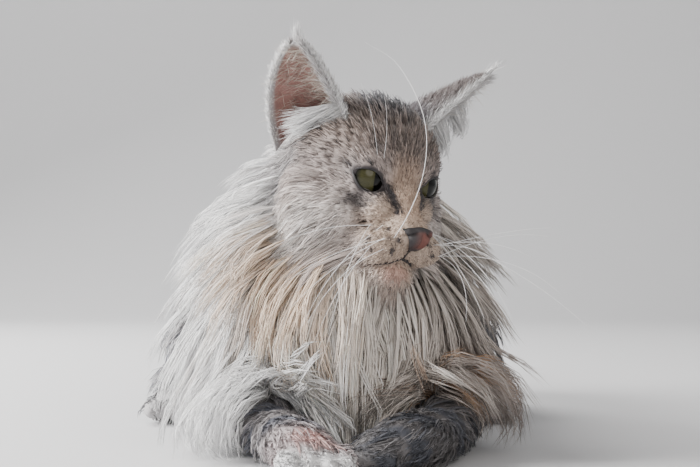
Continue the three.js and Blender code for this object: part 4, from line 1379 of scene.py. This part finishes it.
def build_nose_and_mouth():
    """The nose leather, given a thickness, and the lips."""
    points, faces, color = nose_leather()
    nose = new_mesh("nose_leather", points, faces, MATERIALS["leather"])
    paint(nose, np.clip(color, 0.002, 1))
    thick = nose.modifiers.new("thickness", "SOLIDIFY")
    thick.thickness = 0.0015
    thick.offset = -1
    points, faces = joined(lip_tubes())
    lips = new_mesh("lips", points, faces, MATERIALS["leather"])
    paint(lips, np.tile(tone("soot") * 0.8, (len(points), 1)))
    for piece in (nose, lips):
        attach(piece, "root")


# Where whiskers end, in the working frame: from the far pad past the cheek and down, and from
# the near pad down over the ruff.
FAR_WHISKER_ENDS = [
    (134, -38, 82), (117, -8, 138), (116, -4, 133), (85, -42, 92), (96, -30, 108),
    (120, -30, 100), (76, -36, 86), (106, -20, 120), (66, -30, 84), (92, -44, 84),
]
NEAR_WHISKER_ENDS = [
    (-28, -34, 80), (-34, -30, 92), (-20, -40, 74), (-12, -44, 78), (-40, -24, 104),
    (-24, -38, 84), (-52, -10, 122),
]


def whisker(root, end, sag, radius):
    """A stiff white hair from its root to its end, bowed by a sag and thinning to a point."""
    s = np.linspace(0, 1, 6)[:, None]
    line = mix(root, np.array(end, float), s) + 4 * s * (1 - s) * np.asarray(sag, float)
    line[0] = root - (line[1] - root) * 0.12
    return tube(line, [radius, radius * 0.9, radius * 0.7, 0.05], sides=5, samples=18)


def build_whiskers():
    """Whiskers from the rows of spots on both pads, a long one that curls over the brow, and
    a few fine hairs over the near eye."""
    draw = np.random.default_rng(71)
    made = []
    for flip, ends in ((1, FAR_WHISKER_ENDS), (-1, NEAR_WHISKER_ENDS)):
        for number, end in enumerate(ends):
            row = np.array(SPOT_ROWS[number % 3], float)
            spot = mix(row[0], row[1], draw.uniform(0.05, 0.6)) * [-flip, 1, 1]
            root = from_head(on_head(spot[None, [0, 2]])[0])
            sag = np.array([flip * 2.0, -3.0, 5.0]) + draw.normal(size=3) * 2
            made.append(whisker(root, end, sag, size("whiskers")))
    for k in range(2):
        root = on_head(np.array([[-17.0 - 4 * k, 21 + 1.5 * k]]), start=-60)[0]
        end = root + [-10 - 6 * k, -4 + 10 * k, 34 + 4 * k]
        made.append(whisker(from_head(root), from_head(end), turned([-2, -5, 2]),
                            0.5 * size("whiskers")))
    loop = np.array([(-21, -42, -40), (-13, -58, -24), (-11, -72, 12), (-15, -70, 46),
                     (-20, -42, 74), (-34, -24, 84)], float)
    made.append(tube(from_head(loop), [0.2, 0.2, 0.16, 0.05], sides=5, samples=30))
    points, faces = joined(made)
    points[:, 2] = np.maximum(points[:, 2], FLOOR + 0.6)
    piece = new_mesh("whiskers", points, faces, MATERIALS["whisker"])
    paint(piece, np.tile(tone("white"), (len(points), 1)))
    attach(piece, "root")


# The pieces of the coat.

def open_skin(local):
    """1 where hair grows on the head, 0 on eyes, their inner corners, nose leather and lips."""
    keep = np.ones(len(local))
    for flip in (1, -1):
        outline, deep = almond(local, flip)
        keep *= np.where((outline < 1.0) & (deep > 0), 0, 1)
        # No hair at the inner corners, so that their near black paint, partly dark skin and partly
        # painted shade, shows.
        keep *= to_polyline(local, CANTHUS[:2] * [flip, 1, 1]) > 1.6
    nose = np.linalg.norm((local - [0, -64, -22]) / [8.8, 12, 6.6], axis=1)
    keep *= nose > 1
    return keep * (to_lips(local) > 1.3)


def on_cheek(local):
    """1 low on the sides of the head and 0 elsewhere."""
    return smooth(26, 46, np.abs(local[:, 0])) * smooth(8, -18, local[:, 2])


def length_on_head(points, label, t):
    """Short at the nose and eyes, longer back over the crown, longest on the cheeks."""
    local = to_head(points)
    length = mix(3.2, 11.0, smooth(8, 80, from_nose(local)))
    low = smooth(-28, -42, local[:, 2]) * smooth(-46, -20, local[:, 1])
    nape = smooth(0, 40, local[:, 1])
    chin = 12 * smooth(-47, -54, local[:, 2])
    top = 8 * smooth(36, 50, local[:, 2])
    return length + 20 * on_cheek(local) + 16 * low + 26 * nape + chin + top


def rise_on_head(points, label, t):
    """As high as the skin lies under the coat, and more on cheeks, nape and crown."""
    local = to_head(points)
    rise = hair_depth(local) * 1.05 + 5 * on_cheek(local)
    return rise + 9 * smooth(0, 40, local[:, 1]) + 4 * smooth(36, 50, local[:, 2])


def dark_share_on_head(points, label, t):
    """The ticked hairs of the forehead and temples: the share of dark ones."""
    local = to_head(points)
    top = smooth(2, 24, local[:, 2])
    return 0.09 + 0.34 * top


def build_head_coat():
    """The hair of the face, of the crown and of the cheeks and the jaw's edge."""
    skin = SKIN["skin"]
    local = to_head(skin.center)
    head = (skin.label == 0) * open_skin(local)
    front = smooth(2, -14, local[:, 1])
    look = dict(length=length_on_head, rise=rise_on_head, width=0.62, spread=1.5, curl=0.25,
                rings=2, tone=0.16, dark=dark_share_on_head, root=0.72, tip=1.1)
    comb("face_fur", skin, head * front * (1 + 2.0 * smooth(-25, -45, local[:, 1])),
         5200, 3, look | {"width": 0.55, "spread": 1.1}, 101)
    crown = look | {"rings": 3, "spread": 2.2, "width": 0.7}
    comb("crown_fur", skin, head * (1 - front), 1900, 4, crown, 102)
    x, y, z = local.T
    cheek = smooth(24, 36, np.abs(x)) * smooth(14, 0, z) * smooth(-26, -12, y)
    under = smooth(-26, -38, z) * smooth(-36, -26, y) * 0.8
    length = lambda p, label, t: size("cheeks") + 12 * smooth(0, 30, to_head(p)[:, 1])
    long = dict(length=length, rise=11, width=0.7, spread=3.4, curl=1.2, rings=4, tone=0.12,
                dark=0.05, root=0.8, tip=1.1, sway=0.2, least_rise=0.5)
    comb("cheek_fur", skin, (skin.label == 0) * np.maximum(cheek, under), 330, 14, long, 103)


def ear_hairs(flip, count, v, share, behind, way, length, width, lift, rings, curl, draw):
    """Hairs rooted on an ear's shell: paths that lean along a direction and curve off it."""
    root = from_head(ear_point(flip, v, share, behind))
    _, axis, open_way, side = ear_axes(flip)
    axes = turned(np.stack([axis, open_way, side]))
    along = unit(way @ axes)
    out = lift[:, None] * axes[1]
    s = np.linspace(0, 1, 7)[None, :, None]
    bend = curl[:, None, None] * s ** 2
    path = root[:, None] + length[:, None, None] * (s * along[:, None] + bend * out[:, None])
    pick = np.arange(count)
    none = np.zeros((count, 3))
    return strands(path, pick, (none, none), np.ones(count), width, rings, length * 0.03, draw)


# Hairs of an ear: how many, from and to which height and share round, how far behind the shell,
# lean along its axis, opening and side, wander, least and greatest length, width, least and
# greatest bend, colour, its brightness and rings. In order: the fine hair of the cup, the long
# hair across it, the dark hair at its foot, the hair behind the front edge and the tuft.
EAR_HAIRS = (
    (620, (0.15, 0.92), (-0.9, 0.8), -1.0, (0.5, 0.6, 0.6), 0.5,
     (7, 15), 0.3, (-0.4, 0.5), "cream", 0.8, 3),
    (330, (0.07, 0.28), (-1.0, -0.75), -0.6, (-0.40, 0.34, 1.0), 0.09,
     (24, 44), 0.6, (-0.2, 0.0), "white", 0.72, 4),
    (200, (0.02, 0.20), (-0.95, -0.6), -0.9, (-0.5, 0.5, 1.0), 0.08,
     (18, 34), 0.6, (-0.1, 0.05), "soot", 2.5, 3),
    (620, (0.2, 0.95), (-1.0, -0.55), -0.8, (0.85, 0.28, 0.22), 0.16,
     (7, 13), 0.55, (-0.2, 0.2), "silver", 1.1, 2),
    (70, (0.93, 0.995), (-0.5, 0.5), 0.0, (1.0, 0.02, -0.10), 0.06,
     (6, 19), 0.45, (-0.1, 0.1), "white", 0.9, 4),
)


def build_ear_coat(flip, name, seed):
    """The short coat of the ear's back, its white rim, the hairs of the table, and two broad
    sweeps of long hair from the front edge of the left ear."""
    draw = np.random.default_rng(seed)
    parts, colors, maps = [], [], []

    def add(count, v, share, behind, way, length, width, lift, curl, color, rings):
        verts, faces, s = ear_hairs(flip, count, v, share, behind, way, length, width, lift,
                                    rings, curl, draw)
        parts.append((verts.reshape(-1, 3), faces))
        uneven = np.exp(draw.normal(size=(count, 1)) * 0.14)
        shades = (color * uneven)[:, None] * mix(0.8, 1.08, s)[None, :, None]
        colors.append(for_each_point(shades, rings))
        place = np.stack([0.25 + 0.24 * share + 0.5 * (behind < 0), 0.02 + 0.95 * v], 1)
        maps.append(strand_map(np.clip(place, 0, 0.99), rings, draw))

    spread = lambda n, k: draw.normal(size=(n, 3)) * k
    n = 1900
    v, share = draw.uniform(0.02, 0.97, n), draw.uniform(-1, 1, n)
    way = np.array([1.0, -0.10, 0.12]) + spread(n, 0.12)
    add(n, v, share, np.full(n, 0.9), way, draw.uniform(6, 10, n) * (1 - 0.55 * v ** 3),
        np.full(n, 0.6), np.full(n, -1.0), draw.uniform(0.0, 0.22, n),
        ear_fur_color(v, share), 2)
    n = 1100
    edge = np.sign(draw.uniform(-1, 1, n))
    v = draw.uniform(0.02, 0.97, n)
    way = np.stack([np.full(n, 1.0), np.full(n, 0.1), 0.45 * edge], 1) + spread(n, 0.16)
    add(n, v, edge * draw.uniform(0.86, 1.0, n), draw.uniform(-1, 1, n), way,
        draw.uniform(3, 6.5, n), np.full(n, 0.5), np.ones(n), draw.uniform(-0.1, 0.2, n),
        np.tile(tone("white") * 0.93, (n, 1)), 2)
    for n, up, around, behind, lean, wander, long, width, bend, color, bright, rings in EAR_HAIRS:
        v, share = draw.uniform(*up, n), draw.uniform(*around, n)
        way = np.array(lean) + spread(n, wander)
        add(n, v, share, np.full(n, behind), way, draw.uniform(*long, n), np.full(n, width),
            np.ones(n), draw.uniform(*bend, n), np.tile(tone(color) * bright, (n, 1)), rings)
    if flip > 0:
        for place_v, reach, curl in ((0.56, 50, -0.5), (0.30, 58, -0.5)):
            n = 230
            v, share = place_v + draw.normal(size=n) * 0.06, draw.uniform(-0.95, -0.5, n)
            way = np.array([-0.30, 0.95, 0.35]) + spread(n, 0.03)
            way[:, 0] -= (v - place_v) * 62 / reach
            way[:, 2] -= (share + 0.75) * 20 / reach
            add(n, v, share, np.full(n, -0.8), way, draw.uniform(0.45, 1.0, n) * reach,
                np.full(n, 0.5), np.ones(n), np.full(n, curl),
                np.tile(tone("white") * 0.85, (n, 1)), 4)
    points, faces = joined(parts)
    piece = new_mesh("ear_fur_" + name, points, faces, MATERIALS["hair"])
    paint(piece, np.clip(np.concatenate(colors), DARKEST, LIGHTEST))
    lay_map(piece, np.concatenate(maps))
    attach(piece, "root")


def part_weight(skin, *names):
    """1 on the faces whose part's name starts with one of the names."""
    good = [number for number, label in enumerate(LABELS) if label.startswith(names)]
    return np.isin(skin.label, good).astype(float)


def limb_rise(share):
    """A function that gives a share of the coat's depth at points of the limbs."""
    def rise(points, label, t):
        value = np.full(len(points), 6.0)
        for number in np.unique(label[label > 0]):
            here = label == number
            value[here] = LIMBS[number - 1].depth(t[here]) * share
        return value
    return rise


def build_ruff():
    """The long ruff of neck and breast, in three pieces across the cat."""
    skin = SKIN["skin"]
    x, y, z = skin.center.T
    local = to_head(skin.center)
    jaw = (skin.label == 0) * smooth(-22, -36, local[:, 2]) * smooth(-34, -18, local[:, 1])
    weight = part_weight(skin, "mane") + part_weight(skin, "trunk") * smooth(110, 70, y)
    weight = (weight + 0.35 * jaw) * smooth(2, 14, z) * mix(0.3, 1.0, smooth(28, 78, z))

    def length(points, label, t):
        share = mix(1.0, 0.63, smooth(90, 180, points[:, 2])) * np.where(label == 0, 0.7, 1)
        low = smooth(95, 35, points[:, 2]) * smooth(36, 62, np.abs(points[:, 0] + 4))
        top = smooth(168, 188, points[:, 2]) * (label != 0)
        hanging = smooth(46, 70, points[:, 2]) * smooth(135, 100, points[:, 2])
        return size("ruff") * share * (1 - 0.42 * low) * (1 - 0.62 * top) * (1 + 0.25 * hanging)

    full = limb_rise(0.92)

    def rise(points, label, t):
        beside = smooth(40, 72, points[:, 0]) * smooth(130, 70, points[:, 2])
        beside = np.maximum(beside, smooth(-45, -72, points[:, 0]) * smooth(110, 60, points[:, 2]))
        beside = np.maximum(beside, 0.8 * smooth(172, 190, points[:, 2]))
        return full(points, label, t) * (1 - 0.68 * beside)

    look = dict(length=length, rise=rise, width=0.92, spread=5.5, curl=2.2, rings=4, tone=0.11,
                dark=0.03, root=0.8, tip=1.1, slot="ruff_fur", least_rise=0.25, sway=0.22)
    side = {"right": smooth(-22, -30, x), "middle": smooth(-30, -22, x) * smooth(30, 22, x),
            "left": smooth(22, 30, x)}
    for number, (name, share) in enumerate(side.items()):
        comb("ruff_" + name, skin, weight * share, 400, 17, look, 111 + number)


def build_body_coat():
    """The long hair of the back and the flanks, in two pieces."""
    skin = SKIN["skin"]
    x, y, z = skin.center.T
    weight = part_weight(skin, "trunk") * smooth(62, 105, y) * smooth(2, 18, z)
    look = dict(length=size("flanks"), rise=limb_rise(0.85), width=1.35, spread=6, curl=1.6,
                rings=3, tone=0.15, dark=0.14, root=0.55, tip=1.15, least_rise=0.3)
    comb("flank_fur_right", skin, weight * (x < -8), 440, 13, look, 121)
    comb("flank_fur_left", skin, weight * (x >= -8), 440, 13, look, 122)


def build_leg_coat():
    """The hair of forelegs, paws and hind legs: short on the toes, longest on upper legs."""
    skin = SKIN["skin"]
    z = skin.center[:, 2]

    def short(points, label, t):
        names = np.array(LABELS)[label]
        above_toes = np.where(np.char.endswith(names, ".upper"), 1.5, 1.0) * size("forelegs")
        return np.where(np.char.endswith(names, ".toes"), 0.7 * size("paws"), above_toes)

    look = dict(length=short, rise=limb_rise(0.6), width=0.85, spread=2.4, curl=0.7, rings=3,
                tone=0.2, dark=0.16, root=0.7, tip=1.25)
    above = smooth(0.8, 3, z)
    for number, name in enumerate(("right", "left")):
        weight = part_weight(skin, "foreleg_" + name) * above
        comb("foreleg_fur_" + name, skin, weight, 560, 6, look, 131 + number)
    paws = part_weight(skin, "foreleg_right.toes", "foreleg_left.toes")
    wrist = part_weight(skin, "foreleg_right.lower", "foreleg_left.lower")
    wrist = wrist * smooth(0, -40, skin.center[:, 1])
    paw = look | {"length": size("paws"), "rise": 2.2, "spread": 1.2, "width": 0.6, "rings": 2,
                  "dark": 0.06}
    comb("paw_fur", skin, np.maximum(paws, wrist) * above, 1500, 4, paw, 134)
    haunch = lambda p, label, t: short(p, label, t) * mix(1.0, 1.3, smooth(24, 50, p[:, 2]))
    hind = look | {"length": haunch, "width": 1.45, "spread": 4.4}
    for number, name in enumerate(("right", "left")):
        weight = part_weight(skin, "hindleg_" + name) * above * mix(
            0.7, 1.0, smooth(24, 50, skin.center[:, 2]))
        comb("hindleg_fur_" + name, skin, weight, 420, 7, hind, 135 + number)


def build_tail_coat():
    """The long hair of the tail."""
    skin = SKIN["skin"]
    weight = part_weight(skin, "tail") * smooth(0.8, 4, skin.center[:, 2])
    look = dict(length=size("tail"), rise=limb_rise(0.85), width=1.1, spread=4, curl=2.2, rings=3,
                tone=0.15, dark=0.12, root=0.55, tip=1.15)
    comb("tail_fur", skin, weight, 440, 15, look, 141)


# The stage.

CAMERA_PLACE, CAMERA_PITCH, LENS, SENSOR = np.array([0, -950, 125.0]), 90.585, 83.05, 36


def build_camera():
    """The camera in front of the cat, nearly level, with the lens in millimetres."""
    camera = bpy.data.objects.new("camera", bpy.data.cameras.new("camera"))
    camera.data.sensor_width = SENSOR
    camera.data.lens = LENS
    camera.location = (CAMERA_PLACE + SHIFT) / MM
    camera.rotation_euler = (np.radians(CAMERA_PITCH), 0, 0)
    bpy.context.scene.collection.objects.link(camera)
    bpy.context.scene.camera = camera


def area_light(name, place, aim, across, power, color):
    """A round lamp that faces a place."""
    lamp = bpy.data.lights.new(name, "AREA")
    lamp.shape, lamp.size, lamp.energy, lamp.color = "DISK", across, power, color
    made = bpy.data.objects.new(name, lamp)
    made.location = place
    way = np.array(aim) - np.array(place)
    made.rotation_euler = (np.arccos(-way[2] / np.linalg.norm(way)), 0,
                           np.arctan2(-way[0], way[1]))
    bpy.context.scene.collection.objects.link(made)


def plain_material(name, color, roughness):
    """A material of one colour and roughness."""
    material, _, shader = new_material(name)
    shader.inputs["Base Color"].default_value = (*color, 1)
    shader.inputs["Roughness"].default_value = roughness
    return material


def build_stage():
    """A pale floor that curves up into a wall, soft lamps and the camera."""
    turn = np.linspace(0, np.pi / 2, 12)
    front, back, bend, top, aside = -3.0, 1.6, 0.8, 3.5, 3.5
    profile = [(front, 0.0)] + [(back + bend * np.sin(a), bend * (1 - np.cos(a))) for a in turn]
    profile.append((back + bend, top))
    profile = np.array(profile) * MM
    xs = np.array([-aside, aside]) * MM
    points = np.stack([np.repeat(xs[None], len(profile), 0).ravel(),
                       np.repeat(profile[:, 0], 2), np.repeat(profile[:, 1], 2)], 1) - SHIFT
    floor = new_mesh("floor", points, grid_faces(len(profile), 2), plain_material(
        "pale_floor", tone("floor"), 0.8))
    area_light("key", (-1.75, -0.45, 1.0), (0, -0.2, 0.12), 1.2, 118, (1.0, 0.985, 0.965))
    area_light("fill", (0.7, -1.9, 0.9), (0, -0.2, 0.12), 1.4, 15, (1.0, 0.94, 0.88))
    area_light("back", (-0.9, 1.1, 1.3), (0, -0.1, 0.15), 1.0, 46, (1.0, 0.985, 0.965))
    world = bpy.data.worlds.new("studio")
    world.use_nodes = True
    world.node_tree.nodes["Background"].inputs["Color"].default_value = (0.94, 0.95, 0.965, 1)
    world.node_tree.nodes["Background"].inputs["Strength"].default_value = 0.5
    bpy.context.scene.world = world
    build_camera()


# What the add-on offers.

def need_skin():
    """Raises an error if the skin that all hair grows on isn't there."""
    if "skin" not in SKIN:
        raise RuntimeError("the skin comes first")


class BuildStage(bpy.types.Operator):
    """Builds the pale floor and wall, the soft lamps and the camera."""

    bl_idname = "cat.build_stage"
    bl_label = "Build stage"

    def execute(self, context):
        build_stage()
        return {"FINISHED"}


class BuildSkin(bpy.types.Operator):
    """Builds one skin from nose to tail with its painted markings and painted shade."""

    bl_idname = "cat.build_skin"
    bl_label = "Build skin"

    def execute(self, context):
        make_materials()
        build_skin()
        return {"FINISHED"}


class BuildEyes(bpy.types.Operator):
    """Builds both eyes and the dark rims of their lids."""

    bl_idname = "cat.build_eyes"
    bl_label = "Build eyes"

    def execute(self, context):
        need_skin()
        build_eyes()
        return {"FINISHED"}


class BuildNoseAndMouth(bpy.types.Operator):
    """Builds the nose leather and the dark edges of the lips."""

    bl_idname = "cat.build_nose_and_mouth"
    bl_label = "Build nose and mouth"

    def execute(self, context):
        need_skin()
        build_nose_and_mouth()
        return {"FINISHED"}


class BuildHeadCoat(bpy.types.Operator):
    """Builds the short hair of the face and crown and the longer hair of the cheeks."""

    bl_idname = "cat.build_head_coat"
    bl_label = "Build head coat"

    def execute(self, context):
        need_skin()
        build_head_coat()
        return {"FINISHED"}


class BuildEarCoats(bpy.types.Operator):
    """Builds the hair on and in both ears, with their tufts."""

    bl_idname = "cat.build_ear_coats"
    bl_label = "Build ear coats"

    def execute(self, context):
        need_skin()
        build_ear_coat(-1, "right", 151)
        build_ear_coat(1, "left", 152)
        return {"FINISHED"}


class BuildRuff(bpy.types.Operator):
    """Builds the long ruff of the neck and breast."""

    bl_idname = "cat.build_ruff"
    bl_label = "Build ruff"

    def execute(self, context):
        need_skin()
        build_ruff()
        return {"FINISHED"}


class BuildBodyCoat(bpy.types.Operator):
    """Builds the long hair of the flanks and the back."""

    bl_idname = "cat.build_body_coat"
    bl_label = "Build body coat"

    def execute(self, context):
        need_skin()
        build_body_coat()
        return {"FINISHED"}


class BuildLegCoats(bpy.types.Operator):
    """Builds the hair of the forelegs, hind legs and paws."""

    bl_idname = "cat.build_leg_coats"
    bl_label = "Build leg coats"

    def execute(self, context):
        need_skin()
        build_leg_coat()
        return {"FINISHED"}


class BuildTailCoat(bpy.types.Operator):
    """Builds the bushy hair of the tail."""

    bl_idname = "cat.build_tail_coat"
    bl_label = "Build tail coat"

    def execute(self, context):
        need_skin()
        build_tail_coat()
        return {"FINISHED"}


class BuildWhiskers(bpy.types.Operator):
    """Builds the whiskers and the fine hairs over the eye."""

    bl_idname = "cat.build_whiskers"
    bl_label = "Build whiskers"

    def execute(self, context):
        need_skin()
        build_whiskers()
        return {"FINISHED"}


STEPS = (
    BuildStage, BuildSkin, BuildEyes, BuildNoseAndMouth, BuildHeadCoat,
    BuildEarCoats, BuildRuff, BuildBodyCoat, BuildLegCoats, BuildTailCoat,
    BuildWhiskers,
)


class CatPanel(bpy.types.Panel):
    """Lists the steps that build the cat, and its sizes and colours."""

    bl_idname = "VIEW3D_PT_lying_cat"
    bl_label = "Lying cat"
    bl_space_type = "VIEW_3D"
    bl_region_type = "UI"
    bl_category = "Cat"

    def draw(self, context):
        for step in STEPS:
            self.layout.operator(step.bl_idname)
        for group in (context.scene.cat_sizes, context.scene.cat_colors):
            box = self.layout.box()
            for name in group.__annotations__:
                box.prop(group, name)


CLASSES = (CatSizes, CatColors) + STEPS + (CatPanel,)


def register():
    """Makes the classes and the user's values known."""
    for made in CLASSES:
        bpy.utils.register_class(made)
    bpy.types.Scene.cat_sizes = bpy.props.PointerProperty(type=CatSizes)
    bpy.types.Scene.cat_colors = bpy.props.PointerProperty(type=CatColors)


def unregister():
    """Takes them away again."""
    del bpy.types.Scene.cat_colors
    del bpy.types.Scene.cat_sizes
    for made in reversed(CLASSES):
        bpy.utils.unregister_class(made)


def main():
    register()
    for step in STEPS:
        group, name = step.bl_idname.split(".")
        getattr(getattr(bpy.ops, group), name)()


if __name__ == "__main__":
    main()
